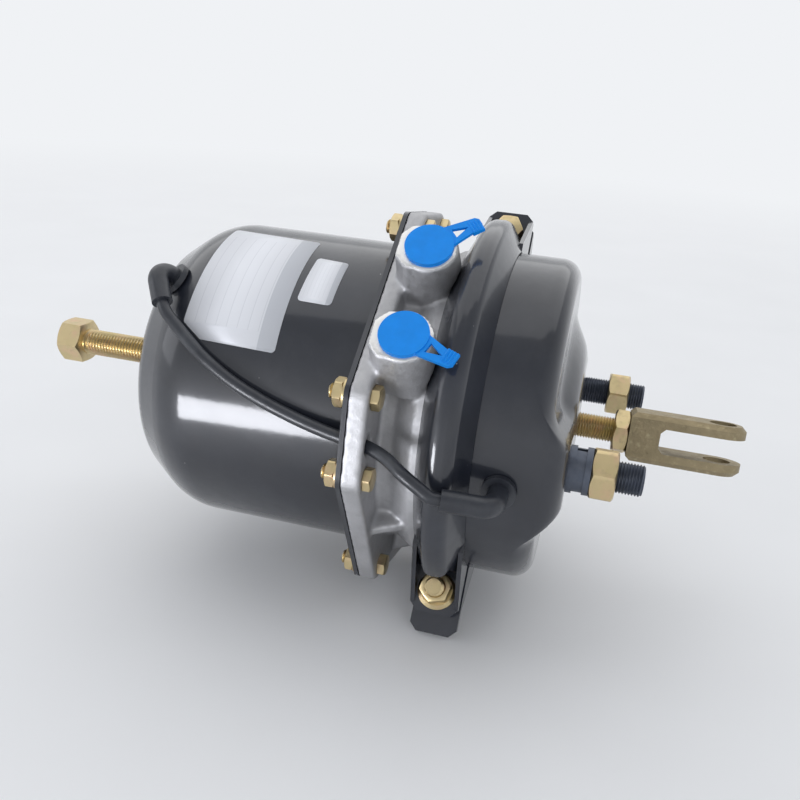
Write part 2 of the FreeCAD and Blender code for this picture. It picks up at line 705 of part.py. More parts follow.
def add_port_boss(body, name, side):
    turn = 90 - size.PortAngle
    sketch = new_sketch(body, name + "_outline")
    place(sketch, 0, -(size.PortHeight * sine(turn)), size.PortHeight * cosine(turn),
          V(1, 0, 0), turn, "AttachmentOffset")
    middle = size.PortSpread * side
    x = -size.PortStation
    rear = x - size.BossRear
    half = size.BossHalfWidth
    cut = size.BossCorner
    draw_outline(sketch, [
        (x, middle + half), (rear + cut, middle + half), (rear, middle + half - cut),
        (rear, middle - half + cut), (rear + cut, middle - half), (x, middle - half)])
    extrude(body, name + "_rear", sketch, size.PortHeight - size.BossRoot, reverse=True,
            draft=size.BossDraft)
    front = new_sketch(body, name + "_front_outline")
    place(front, 0, -(size.PortHeight * sine(turn)), size.PortHeight * cosine(turn),
          V(1, 0, 0), turn, "AttachmentOffset")
    draw_circle(front, (x, middle), size.BossRadius)
    extrude(body, name + "_front", front, size.PortHeight - size.BossRoot, reverse=True,
            draft=size.BossDraft)


def cut_port(body, name, side, floor):
    """A port's thread and the air passage below it, down to a height above the axis."""
    turn = 90 - size.PortAngle
    passage = size.PassageDiameter / 2
    for part, radius, depth in (("thread", size.PortBore / 2, size.PortDepth),
                                ("passage", passage, size.PortHeight - floor)):
        sketch = new_sketch(body, "%s_%s_place" % (name, part))
        place(sketch, 0, -(size.PortHeight * sine(turn)), size.PortHeight * cosine(turn),
              V(1, 0, 0), turn, "AttachmentOffset")
        draw_circle(sketch, (-size.PortStation, size.PortSpread * side), radius)
        extrude(body, "%s_%s" % (name, part), sketch, depth, cut=True)


def make_middle_body():
    body = new_body("middle_body")
    spigot_x = flange_rear_x - size.SpigotLength
    groove_x = flange_rear_x - size.SpigotLength / 2
    half_groove = size.SealGrooveWidth / 2
    rim_x = clamp_x - size.BeadHalf
    rim_foot = size.BandRearFoot - size.FreeGap
    turned(body, "casting_form", [
        (spigot_x, 0),
        (spigot_x, size.SpigotRadius),
        (groove_x - half_groove, size.SpigotRadius),
        (groove_x - half_groove, size.SealGrooveRadius),
        (groove_x + half_groove, size.SealGrooveRadius),
        (groove_x + half_groove, size.SpigotRadius),
        (flange_rear_x, size.SpigotRadius),
        (flange_rear_x, size.NeckRadius),
        (-size.NeckFront, size.NeckRadius),
        (-size.FlareFront, rim_foot - size.FreeGap),
        (clamp_x - flank_half(rim_foot), rim_foot),
        (clamp_x - flank_half(size.RimRadius), size.RimRadius),
        (rim_x, size.RimRadius),
        (rim_x, 0)])
    outline = new_sketch(body, "flange_outline", "YZ_Plane")
    place(outline, z=flange_rear_x, prop="AttachmentOffset")
    draw_flange_outline(outline)
    extrude(body, "bolt_flange", outline, size.FlangeThickness)
    for number, angle in enumerate(rib_angles(), start=1):
        sketch = new_sketch(body, "rib_outline_%d" % number)
        place(sketch, 0, 0, 0, V(1, 0, 0), 180 - angle, "AttachmentOffset")
        draw_outline(sketch, [
            (flange_front_x, size.NeckRadius - 2),
            (flange_front_x, size.NeckRadius + size.RibHeight),
            (-size.RibFront, size.NeckRadius + size.RibFrontHeight),
            (-size.RibFront, size.NeckRadius - 2)])
        extrude(body, "rib_%d" % number, sketch, size.RibThickness, both=True)
    add_port_boss(body, "upper_boss", 1)
    add_port_boss(body, "lower_boss", -1)
    turned(body, "rear_recess", [
        (spigot_x, 0), (spigot_x, size.SpigotInner),
        (-size.WallRear, size.SpigotInner), (-size.WallRear, 0)], cut=True)
    turned(body, "service_cavity", [
        (rim_x, 0), (rim_x, size.CavityMouth),
        (-size.WallFront, size.CavityFloor), (-size.WallFront, 0)], cut=True)
    turned(body, "bush_bore", [
        (-size.WallRear, 0), (-size.WallRear, size.BushRadius + size.SeatGap),
        (-size.WallFront, size.BushRadius + size.SeatGap), (-size.WallFront, 0)], cut=True)
    gap = size.FreeGap * 2
    turned(body, "clamp_clearance", [
        (clamp_x - flank_half(rim_foot), rim_foot),
        (clamp_x - band_half(size.BandRearFoot) - gap, rim_foot),
        (clamp_x - size.BandCrownHalf - gap, size.BandCrownRadius + gap),
        (clamp_x, size.BandCrownRadius + gap),
        (clamp_x, size.RimRadius),
        (clamp_x - flank_half(size.RimRadius), size.RimRadius)], cut=True)
    cut_port(body, "upper_port", 1, size.CavityFloor - 4)
    cut_port(body, "lower_port", -1, size.SpringPassageHeight)
    turn = 90 - size.PortAngle
    sketch = new_sketch(body, "spring_passage_place", "YZ_Plane")
    place(sketch, z=spigot_x, prop="AttachmentOffset")
    y = -(size.SpringPassageHeight * cosine(size.PortAngle)) - size.PortSpread * cosine(turn)
    z = size.SpringPassageHeight * sine(size.PortAngle) - size.PortSpread * sine(turn)
    draw_circle(sketch, (y, z), size.SpringPassageDiameter / 2)
    run = size.FlangeStation + size.FlangeThickness + size.SpigotLength - size.PortStation
    extrude(body, "spring_passage", sketch, run, cut=True, reverse=True)
    cut_bolt_holes(body, "casting_bolt_holes", flange_rear_x)
    return keep(body)


def make_flange_seal():
    seal = doc.addObject("Part::Torus", "flange_seal")
    bind(seal, "Radius1", size.SealGrooveRadius + size.SealSection / 2 + size.SeatGap)
    bind(seal, "Radius2", size.SealSection / 2)
    place(seal, flange_rear_x - size.SpigotLength / 2, 0, 0, V(0, 1, 0), 90)
    return keep(seal)


# Spring housing, with its bolt flange and the hole for the release bush

def make_spring_housing():
    body = new_body("spring_housing")
    turned(body, "spring_housing_form", [
        (-size.HousingEnd, 0),
        (-size.HousingEnd, size.HousingEndRadius),
        (-size.HousingBend, size.HousingBendRadius),
        (-size.HousingShoulder, size.SpringHousingRadius),
        (flange_rear_x, size.SpringHousingRadius),
        (flange_rear_x, 0)])
    rounded(body, "bend_round", [(-size.HousingBend, size.HousingBendRadius)], size.BendRound)
    rounded(body, "shoulder_round", [(-size.HousingShoulder, size.SpringHousingRadius)],
            size.ShoulderRound)
    rounded(body, "end_round", [(-size.HousingEnd, size.HousingEndRadius)], size.EndRound)
    base = body.Tip
    open_face = [
        "Face%d" % index for index, face in enumerate(base.Shape.Faces, start=1)
        if abs(face.CenterOfMass.x - flange_rear_x.value) < 1e-3]
    shell = body.newObject("PartDesign::Thickness", "housing_shell")
    shell.Base = (base, open_face)
    bind(shell, "Value", size.SteelWall)
    shell.Reversed = True
    doc.recompute()
    outline = new_sketch(body, "steel_flange_outline", "YZ_Plane")
    place(outline, z=steel_flange_x, prop="AttachmentOffset")
    draw_flange_outline(outline)
    draw_circle(outline, (0, 0), size.HousingBore + size.SteelWall / 2)
    extrude(body, "steel_flange", outline, size.SteelFlange)
    cut_bolt_holes(body, "steel_flange_holes", flange_rear_x)
    hole = new_sketch(body, "bush_hole_place", "YZ_Plane")
    place(hole, z=-size.HousingEnd, prop="AttachmentOffset")
    draw_circle(hole, (0, 0), size.ReleaseBushRadius + size.SeatGap)
    extrude(body, "bush_hole", hole, size.SteelWall * 4, cut=True, both=True)
    foot, normal = rear_vent()
    vent = cylinder("rear_vent_hole", size.NippleDiameter / 2 + size.SeatGap, size.SteelWall * 4)
    aim(vent, foot - normal * (size.SteelWall.value * 2), normal)
    housing = cut_from("spring_housing_drilled", body, [vent])
    body.Label = "spring_housing_blank"
    housing.Label = "spring_housing"
    return keep(housing)


def aim(thing, start, direction):
    thing.Placement = FreeCAD.Placement(start, FreeCAD.Rotation(V(0, 0, 1), direction))


def cone_radius(station):
    """Outer radius of the spring housing's end cone at a station."""
    rise = (size.SpringHousingRadius - size.HousingBendRadius).value
    run = (size.HousingBend - size.HousingShoulder).value
    return size.HousingBendRadius.value + (size.HousingBend.value - station) * rise / run


def rear_vent():
    """Where the rear vent meets the end cone, and the cone's outward normal there."""
    angle = math.radians(size.RearVentAngle.value)
    station = size.RearVentStation.value
    rise = (size.SpringHousingRadius - size.HousingBendRadius).value
    run = (size.HousingBend - size.HousingShoulder).value
    along = math.hypot(rise, run)
    radius = cone_radius(station)
    foot = V(-station, -radius * math.cos(angle), radius * math.sin(angle))
    outward = run / along
    normal = V(-rise / along, -outward * math.cos(angle), outward * math.sin(angle))
    return foot, normal


# Clamp band: two halves with lugs, drawn together by a bolt at each split

def add_lug_webs(body, name, side):
    """Two webs, one each side of the nut, that run from the lug back to the band's flanks."""
    outer = size.LugHalfWidth
    inner = outer - size.WebThickness
    near = size.LugGap / 2
    far = near + size.LugThickness + size.NutRoom + size.LugThickness
    middle = far / 2
    low = flank_radius(outer)
    high = flank_radius(inner)
    tip = size.LugReach - size.LugRound
    for offset, mark in ((clamp_x + inner, "front"), (clamp_x - outer, "rear")):
        web = new_sketch(body, "%s_%s_web_outline" % (name, mark), "YZ_Plane")
        place(web, z=offset, prop="AttachmentOffset")
        draw_outline(web, [
            (root(low * low - near * near) * side, near), (tip * side, near),
            (tip * side, near + size.LugThickness), (root(high * high - far * far) * side, far),
            (root(low * low - far * far) * side, far),
            (root(low * low - middle * middle) * side, middle)])
        extrude(body, "%s_%s_web" % (name, mark), web, size.WebThickness)


def make_clamp_half(label, start, reach_first, reach_last):
    body = new_body(label)
    rear = band_half(size.BandRearFoot)
    front = band_half(size.BandFrontFoot)
    inner_crown = size.BandCrownRadius - size.BandWall
    turned(body, label + "_channel", [
        (clamp_x - rear, size.BandRearFoot),
        (clamp_x - size.BandCrownHalf, size.BandCrownRadius),
        (clamp_x + size.BandCrownHalf, size.BandCrownRadius),
        (clamp_x + front, size.BandFrontFoot),
        (clamp_x + channel_half(size.BandFrontFoot), size.BandFrontFoot),
        (clamp_x + channel_half(inner_crown), inner_crown),
        (clamp_x - channel_half(inner_crown), inner_crown),
        (clamp_x - channel_half(size.BandRearFoot), size.BandRearFoot)], angle=180)
    rounded(body, label + "_crown", [
        (clamp_x - size.BandCrownHalf, size.BandCrownRadius),
        (clamp_x + size.BandCrownHalf, size.BandCrownRadius)], size.BandCrownRound)
    rounded(body, label + "_inner_crown", [
        (clamp_x - channel_half(inner_crown), inner_crown),
        (clamp_x + channel_half(inner_crown), inner_crown)], size.BandCrownRound - size.BandWall)
    half_gap = size.LugGap / 2
    ends = new_sketch(body, label + "_ends")
    wide = band_half(size.BandRearFoot) + 2
    tall = size.BandCrownRadius + 2
    draw_outline(ends, [(clamp_x - wide, -tall), (clamp_x + wide, -tall),
                        (clamp_x + wide, tall), (clamp_x - wide, tall)])
    extrude(body, label + "_split", ends, half_gap, cut=True, reverse=True)
    nut_x = size.NutRoomHalf
    room_foot = size.ClampBoltRadius - size.ClampFlangeDiameter / 2 - size.FreeGap
    for side, reach in ((1, reach_first), (-1, reach_last)):
        name = "%s_%s" % (label, "first" if side == 1 else "last")
        room = new_sketch(body, name + "_room_outline")
        place(room, z=half_gap + size.LugThickness, prop="AttachmentOffset")
        draw_outline(room, [(clamp_x - nut_x, room_foot * side), (clamp_x + nut_x, room_foot * side),
                            (clamp_x + nut_x, tall * side), (clamp_x - nut_x, tall * side)])
        extrude(body, name + "_room", room, size.NutRoom, cut=True, reverse=True)
        lug = new_sketch(body, name + "_lug_outline")
        place(lug, z=half_gap, prop="AttachmentOffset")
        half = size.LugHalfWidth
        corner = size.LugRound
        foot = size.LugFoot
        ledge = size.RimRadius + size.FreeGap
        draw_outline(lug, [
            (clamp_x - half, foot * side), (clamp_x - channel_half(foot), foot * side),
            (clamp_x - channel_half(ledge), ledge * side),
            (clamp_x + channel_half(ledge), ledge * side),
            (clamp_x + channel_half(foot), foot * side), (clamp_x + half, foot * side),
            (clamp_x + half, (reach - corner) * side), (clamp_x + half - corner, reach * side),
            (clamp_x - half + corner, reach * side), (clamp_x - half, (reach - corner) * side)])
        extrude(body, name + "_lug", lug, size.LugThickness)
        add_lug_webs(body, name, side)
        hole = new_sketch(body, name + "_hole_place")
        place(hole, z=half_gap, prop="AttachmentOffset")
        draw_circle(hole, (clamp_x, size.ClampBoltRadius * side),
                    size.ClampBoltDiameter / 2 + size.FreeGap)
        extrude(body, name + "_hole", hole, size.LugThickness * 2, cut=True, both=True)
    place(body, 0, 0, 0, V(1, 0, 0), start)
    return keep(body)


def make_clamp():
    first = 180 - size.SplitAngle
    make_clamp_half("clamp_half_upper", first - 180, size.LugReach, size.LugReach)
    make_clamp_half("clamp_half_lower", first, size.LongLugReach, size.LugReach)
    seat = size.LugGap / 2 + size.LugThickness
    head = hex_block("clamp_head", size.ClampNutAcross, size.ClampHeadHeight)
    shank = cylinder("clamp_shank", size.ClampBoltDiameter / 2,
                     seat * 2 + size.ClampNutHeight + size.ClampBoltBeyond, z=-(seat * 2) - 0)
    place(head, 0, 0, -(seat * 2), V(1, 0, 0), 180)
    bolt = fuse("clamp_bolt_pattern", [head, shank])
    block = hex_block("clamp_nut", size.ClampNutAcross, size.ClampNutHeight)
    flange = doc.addObject("Part::Cone", "clamp_nut_flange")
    bind(flange, "Radius1", size.ClampFlangeDiameter / 2)
    bind(flange, "Radius2", size.ClampNutAcross / 2)
    bind(flange, "Height", size.ClampFlangeHeight * 1.8)
    bore = cylinder("clamp_nut_bore", size.ClampBoltDiameter / 2 + size.ThreadGap,
                    size.ClampNutHeight * 2, z=-size.ClampNutHeight / 2)
    nut = cut_from("clamp_nut_pattern", fuse("clamp_nut_solid", [block, flange]), [bore])
    places = []
    for angle in (size.SplitAngle.value, size.SplitAngle.value + 180):
        turn = math.radians(angle)
        radius = size.ClampBoltRadius.value
        forward = V(0, math.sin(turn), math.cos(turn))
        centre = V(clamp_x.value, -radius * math.cos(turn), radius * math.sin(turn))
        seat_point = centre + forward * seat.value
        places.append(FreeCAD.Placement(seat_point, FreeCAD.Rotation(V(0, 0, 1), forward)))
    keep(copies("clamp_bolts", bolt, places))
    keep(copies("clamp_nuts", nut, places))


# Flange fasteners

def make_flange_fasteners():
    grip = size.FlangeThickness + size.SteelFlange + size.FlangeWasher
    reach = grip + size.FlangeNutHeight + size.FlangeBoltBeyond
    head = hex_block("flange_head", size.FlangeBoltAcross, size.FlangeBoltHead)
    shank = cylinder("flange_shank", size.FlangeBoltDiameter / 2, reach, z=-reach)
    bolt = fuse("flange_bolt_pattern", [head, shank])
    block = hex_block("flange_nut", size.FlangeNutAcross, size.FlangeNutHeight)
    radius = size.FlangeBoltDiameter / 2 + size.ThreadGap
    bore = cylinder("flange_nut_bore", radius, size.FlangeNutHeight * 2, z=-size.FlangeNutHeight / 2)
    nut = cut_from("flange_nut_pattern", block, [bore])
    disc = cylinder("flange_washer_disc", size.FlangeWasherDiameter / 2, size.FlangeWasher)
    hole = cylinder("flange_washer_hole", radius, size.FlangeWasher * 3, z=-size.FlangeWasher)
    washer = cut_from("flange_washer_pattern", disc, [hole])
    fronts, washers, nuts = [], [], []
    for angle in bolt_angles():
        y, z = at(size.BoltCircle, angle)
        spin = FreeCAD.Rotation(V(1, 0, 0), 17 * len(fronts))
        fronts.append(FreeCAD.Placement(vector(flange_front_x, y, z), spin.multiply(ALONG_X)))
        washers.append(FreeCAD.Placement(vector(steel_flange_x, y, z), AGAINST_X))
        nuts.append(FreeCAD.Placement(vector(steel_flange_x - size.FlangeWasher, y, z),
                                      spin.multiply(AGAINST_X)))
    keep(copies("flange_bolts", bolt, fronts))
    keep(copies("flange_washers", washer, washers))
    keep(copies("flange_nuts", nut, nuts))


# Mounting studs, their nuts and the washers on the near one

def make_studs():
    stud = new_body("stud_pattern")
    radius = size.StudDiameter / 2
    inner_x = -size.SteelWall - size.ThreadGap
    turned(stud, "stud_form", [
        (inner_x - size.StudHeadHeight, 0),
        (inner_x - size.StudHeadHeight, size.StudHeadDiameter / 2),
        (inner_x, size.StudHeadDiameter / 2),
        (inner_x, radius),
        (size.StudReach - size.StudChamfer, radius),
        (size.StudReach, radius - size.StudChamfer),
        (size.StudReach, 0)])
    half = size.StudSpacing.value / 2
    sides = [FreeCAD.Placement(V(0, side * half, 0), FreeCAD.Rotation()) for side in (-1, 1)]
    keep(copies("mounting_studs", stud, sides))
    bore = cylinder("stud_nut_bore", radius + size.ThreadGap, size.StudNutHeight * 2,
                    z=-size.StudNutHeight / 2)
    block = hex_block("stud_nut", size.StudNutAcross, size.StudNutHeight, under=True)
    nut = cut_from("stud_nut_pattern", block, [bore])
    near_x = (size.WasherHeight * 2 + size.LockWasherHeight).value
    spin = FreeCAD.Rotation(V(1, 0, 0), 12)
    places = [FreeCAD.Placement(V(near_x, -half, 0), spin.multiply(ALONG_X)),
              FreeCAD.Placement(V(size.FarNutStation.value, half, 0), spin.multiply(ALONG_X))]
    keep(copies("stud_nuts", nut, places))
    washer = cut_from("stud_washer_pattern",
                      cylinder("stud_washer_disc", size.WasherDiameter / 2, size.WasherHeight),
                      [cylinder("stud_washer_hole", radius + size.ThreadGap,
                                size.WasherHeight * 3, z=-size.WasherHeight)])
    second = (size.WasherHeight + size.LockWasherHeight).value
    places = [FreeCAD.Placement(V(x, -half, 0), ALONG_X) for x in (0, second)]
    keep(copies("stud_washers", washer, places))
    ring = x_cylinder("lock_washer_disc", size.WasherDiameter / 2 - 1, size.LockWasherHeight,
                      size.WasherHeight, -size.StudSpacing / 2)
    hole = x_cylinder("lock_washer_hole", radius + size.ThreadGap, size.LockWasherHeight * 3,
                      size.WasherHeight - size.LockWasherHeight, -size.StudSpacing / 2)
    slot = doc.addObject("Part::Box", "lock_washer_slot")
    bind(slot, "Length", size.LockWasherHeight * 2)
    bind(slot, "Width", size.LockWasherGap)
    bind(slot, "Height", size.WasherDiameter)
    place(slot, size.WasherHeight - size.LockWasherHeight / 2,
          -size.StudSpacing / 2 - size.LockWasherGap / 2, 0)
    keep(cut_from("stud_lock_washer", ring, [hole, slot]))


# Push rod with its plate, jam nut and clevis

def make_push_rod():
    plate_x = -size.WallFront + size.FreeGap * 2 + size.DiaphragmWeb
    face_x = plate_x + size.PlateThickness
    plate = new_body("pressure_plate")
    turned(plate, "pressure_plate_form", [
        (plate_x, 0),
        (plate_x, size.PlateRadius - size.PlateLip),
        (plate_x + size.PlateLip, size.PlateRadius),
        (face_x + size.PlateLip, size.PlateRadius - 1),
        (face_x, size.PlateRadius - size.PlateLip - 1.6),
        (face_x, 0)])
    keep(plate)
    rod = new_body("push_rod")
    radius = size.RodDiameter / 2
    turned(rod, "push_rod_form", [
        (face_x, 0),
        (face_x, radius),
        (size.RodEnd - size.StudChamfer, radius),
        (size.RodEnd, radius - size.StudChamfer),
        (size.RodEnd, 0)])
    keep(rod)
    block = hex_block("jam", size.JamNutAcross, size.JamNutHeight, under=True)
    place(block, size.JamNutStation, 0, 0, V(0, 1, 0), 90)
    bore = x_cylinder("jam_bore", radius + size.SeatGap, size.JamNutHeight * 3,
                      size.JamNutStation - size.JamNutHeight)
    keep(cut_from("jam_nut", block, [bore]))
    keep(make_clevis())


def make_clevis():
    """A forged fork: round ear ends about the pin, a slot between the ears and a tapped base."""
    body = new_body("clevis")
    half = size.ClevisWidth / 2
    sketch = new_sketch(body, "clevis_plan")
    base = size.ClevisBase
    pin = size.ClevisPinStation
    sides = [((base, half), (pin, half)), ((pin, -half), (base, -half)), ((base, -half), (base, half))]
    for start, end in sides:
        line = Part.LineSegment(vector(start[0], start[1], 0), vector(end[0], end[1], 0))
        sketch.addGeometry(line, False)
    nose = Part.Circle(vector(pin, 0, 0), V(0, 0, 1), half.value)
    arc = sketch.addGeometry(Part.ArcOfCircle(nose, -math.pi / 2, math.pi / 2), False)
    sketch.addConstraint(Sketcher.Constraint("Tangent", arc, 2, 0, 2))
    sketch.addConstraint(Sketcher.Constraint("Tangent", arc, 1, 1, 1))
    sketch.addConstraint(Sketcher.Constraint("Coincident", 1, 2, 2, 1))
    sketch.addConstraint(Sketcher.Constraint("Coincident", 2, 2, 0, 1))
    sketch.addConstraint(Sketcher.Constraint("Vertical", 2))
    pin_point(sketch, arc, 3, (pin, 0))
    rule = sketch.addConstraint(Sketcher.Constraint("Radius", arc, half.value))
    sketch.setExpression("Constraints[%d]" % rule, half.formula)
    rule = sketch.addConstraint(Sketcher.Constraint("DistanceX", -1, 1, 2, 1, base.value))
    sketch.setExpression("Constraints[%d]" % rule, base.formula)
    extrude(body, "clevis_form", sketch, size.ClevisHeight, both=True)
    edges = body.newObject("PartDesign::Chamfer", "clevis_edges")
    top = size.ClevisHeight.value / 2
    form = doc.getObject("clevis_form")
    names = [
        "Edge%d" % index for index, edge in enumerate(form.Shape.Edges, start=1)
        if min(abs(vertex.Z - side) for side in (top, -top) for vertex in edge.Vertexes) < 1e-3
        and abs(edge.BoundBox.ZLength) < 1e-3]
    edges.Base = (form, names)
    bind(edges, "Size", size.ClevisEdge)
    doc.recompute()
    slot = new_sketch(body, "clevis_slot_outline", "XZ_Plane")
    gap = size.ClevisSlot / 2
    corner = size.ClevisSlotRound
    tip = pin + size.ClevisWidth
    draw_outline(slot, [
        (size.ClevisSlotBase, gap - corner), (size.ClevisSlotBase + corner, gap), (tip, gap),
        (tip, -gap), (size.ClevisSlotBase + corner, -gap), (size.ClevisSlotBase, -gap + corner)])
    extrude(body, "clevis_slot", slot, size.ClevisWidth * 2, cut=True, both=True)
    holes = new_sketch(body, "clevis_pin_place")
    draw_circle(holes, (pin, 0), size.ClevisPinDiameter / 2)
    extrude(body, "clevis_pin_holes", holes, size.ClevisHeight * 2, cut=True, both=True)
    turned(body, "clevis_thread", [
        (base, 0), (base, size.RodDiameter / 2 + size.SeatGap),
        (size.ClevisSlotBase, size.RodDiameter / 2 + size.SeatGap), (size.ClevisSlotBase, 0)],
        cut=True)
    place(body, 0, 0, 0, V(1, 0, 0), size.ClevisTurn)
    return body


def make_rod_guide():
    body = new_body("rod_guide")
    bore = size.RodDiameter / 2 + size.RunGap
    wall_x = -size.SteelWall - size.SeatGap
    flange_x = wall_x - size.FreeGap * 12
    turned(body, "rod_guide_form", [
        (-size.GuideLength, bore),
        (-size.GuideLength, size.GuideRadius),
        (flange_x, size.GuideRadius),
        (flange_x, size.GuideRadius + size.GuideFlange),
        (wall_x, size.GuideRadius + size.GuideFlange),
        (wall_x, size.GuideRadius),
        (0, size.GuideRadius),
        (0, bore)])
    return keep(body)


def make_diaphragm():
    body = new_body("diaphragm")
    gap = size.FreeGap
    slope = (size.CavityMouth - size.CavityFloor) / (size.WallFront - size.ClampStation - size.BeadHalf)
    along = root(slope * slope + 1)
    rear_x = -size.WallFront + gap
    bead_x = clamp_x - size.BeadHalf + gap / 3
    web = size.DiaphragmWeb
    bead_radius = size.RimRadius - gap
    bowl = size.BowlRadius - size.SteelWall - gap
    rim_inner = flank_half(size.RimRadius) - size.RimSheet - gap
    bowl_half = rim_inner + (bead_radius - bowl) * band_slope
    flat_edge = size.CavityFloor - gap * along + gap * slope
    mouth = flat_edge + (bead_x - rear_x) * slope
    inner_edge = flat_edge - web * along + web * slope
    shelf = bowl - web
    shelf_x = rear_x + web + (shelf - inner_edge) / slope
    turned(body, "diaphragm_form", [
        (rear_x, 0),
        (rear_x, flat_edge),
        (bead_x, mouth),
        (bead_x, bead_radius),
        (clamp_x + rim_inner, bead_radius),
        (clamp_x + bowl_half, bowl),
        (clamp_x + bowl_half, shelf),
        (shelf_x, shelf),
        (rear_x + web, inner_edge),
        (rear_x + web, 0)])
    return keep(body)


# Coil springs: half turns as arcs, each leaning so that the next one follows on smoothly

def coil(label, start_x, end_x, start_radius, end_radius, wire, half_turns):
    points = []
    for index in range(half_turns + 1):
        share = index / half_turns
        radius = start_radius + (end_radius - start_radius) * share
        side = 1 if index % 2 == 0 else -1
        points.append(V(start_x + (end_x - start_x) * share, radius * side, 0))
    arcs = []
    for index in range(half_turns):
        a, b = points[index], points[index + 1]
        middle = (a + b) / 2
        reach = (b - a).Length / 2
        side = 1 if index % 2 == 0 else -1
        top = middle + V(0, 0, side * reach)
        arcs.append(Part.Arc(a, top, b).toShape())
    path = Part.Wire(arcs)
    section = Part.Wire([Part.makeCircle(wire / 2, points[0], V(0, 0, 1))])
    spring = path.makePipeShell([section], True, True)
    expected = math.pi * wire * wire / 4 * path.Length
    if abs(spring.Volume / expected - 1) > 0.01:
        raise RuntimeError("%s came out with the wrong volume" % label)
    node = doc.addObject("Part::Feature", label)
    node.Shape = spring
    node.Label = label
    return keep(node)


def make_springs():
    wire = size.ReturnWire.value
    plate_face = (-size.WallFront + size.FreeGap * 2 + size.DiaphragmWeb + size.PlateThickness).value
    coil("return_spring", plate_face + wire / 2 + size.FreeGap.value,
         -size.SteelWall.value - wire / 2 - size.FreeGap.value,
         size.ReturnLarge.value, size.ReturnSmall.value, wire, int(size.ReturnHalfTurns.value))
    wire = size.PowerWire.value
    seat_face = (-size.SeatStation + size.SeatThickness).value
    web_face = (-size.PistonStation - size.PistonWeb).value
    coil("power_spring", seat_face + wire / 2 + size.SeatGap.value,
         web_face - wire / 2 - size.FreeGap.value,
         size.PowerRadius.value, size.PowerRadius.value, wire, int(size.PowerHalfTurns.value))


def make_spring_seat():
    body = new_body("spring_seat")
    rear = -size.SeatStation
    turned(body, "spring_seat_form", [
        (rear, size.SeatInner),
        (rear, size.SeatOuter),
        (rear + size.SeatThickness, size.SeatOuter),
        (rear + size.SeatThickness, size.SeatInner + size.SeatThickness),
        (rear + size.SeatThickness * 3, size.SeatInner + size.SeatThickness),
        (rear + size.SeatThickness * 3, size.SeatInner)])
    return keep(body)


# Spring piston with its seal, guide ring and plunger

def make_spring_piston():
    body = new_body("spring_piston")
    front = -size.PistonStation
    back = front - size.PistonWeb
    edge = size.PistonRadius
    seal = front - size.SealLand
    ring = front - size.RingLand
    seat = size.PlungerRadius + size.SeatGap
    turned(body, "spring_piston_form", [
        (back - size.HubRear, size.ReleaseDiameter / 2 + size.FreeGap * 2),
        (back - size.HubRear, size.HubRadius),
        (back, size.HubRadius),
        (back, size.SkirtInner),
        (front - size.PistonSkirt, size.SkirtInner),
        (front - size.PistonSkirt, edge),
        (ring - size.GuideRingWidth, edge),
        (ring - size.GuideRingWidth, edge - size.GuideRingDepth),
        (ring, edge - size.GuideRingDepth),
        (ring, edge),
        (seal - size.PistonSealWidth, edge),
        (seal - size.PistonSealWidth, edge - size.PistonSealDepth),
        (seal, edge - size.PistonSealDepth),
        (seal, edge),
        (front, edge),
        (front, size.HubRadius),
        (front + size.HubFront, size.HubRadius),
        (front + size.HubFront, seat),
        (back, seat),
        (back, size.ReleaseDiameter / 2 + size.FreeGap * 2)])
    keep(body)
    bore = size.HousingBore
    gap = size.FreeGap / 3
    lip = new_body("piston_seal")
    foot = edge - size.PistonSealDepth + gap
    rim = bore - size.RunGap
    middle = (foot + rim) / 2
    turned(lip, "piston_seal_form", [
        (seal - size.PistonSealWidth + gap, foot),
        (seal - size.PistonSealWidth + gap, rim),
        (seal - gap, rim),
        (seal - gap, rim - 0.9),
        (seal - size.PistonSealWidth / 2, middle),
        (seal - gap, foot + 0.9),
        (seal - gap, foot)])
    keep(lip)
    guide = new_body("piston_guide_ring")
    turned(guide, "piston_guide_ring_form", [
        (ring - size.GuideRingWidth + gap, edge - size.GuideRingDepth + gap),
        (ring - size.GuideRingWidth + gap, bore - size.RunGap * 2),
        (ring - gap, bore - size.RunGap * 2),
        (ring - gap, edge - size.GuideRingDepth + gap)])
    keep(guide)


def make_plunger():
    back = -size.PistonStation - size.PistonWeb
    tip = -size.WallFront - size.SeatGap
    head = size.PlungerRadius / 4
    tube = new_body("plunger_tube")
    turned(tube, "plunger_tube_form", [
        (back + size.SeatGap, size.PlungerBore),
        (back + size.SeatGap, size.PlungerRadius),
        (tip - head - size.SeatGap, size.PlungerRadius),
        (tip - head - size.SeatGap, size.PlungerBore)])
    keep(tube)
    cap = new_body("plunger_cap")
    turned(cap, "plunger_cap_form", [
        (tip - head * 2, 0),
        (tip - head * 2, size.PlungerBore - size.SeatGap),
        (tip - head, size.PlungerBore - size.SeatGap),
        (tip - head, size.PlungerRadius),
        (tip, size.PlungerRadius),
        (tip, 0)])
    keep(cap)


def plunger_seal_stations():
    width = size.WallRear - size.WallFront
    return [size.WallRear - width * 0.3, size.WallRear - width * 0.72]


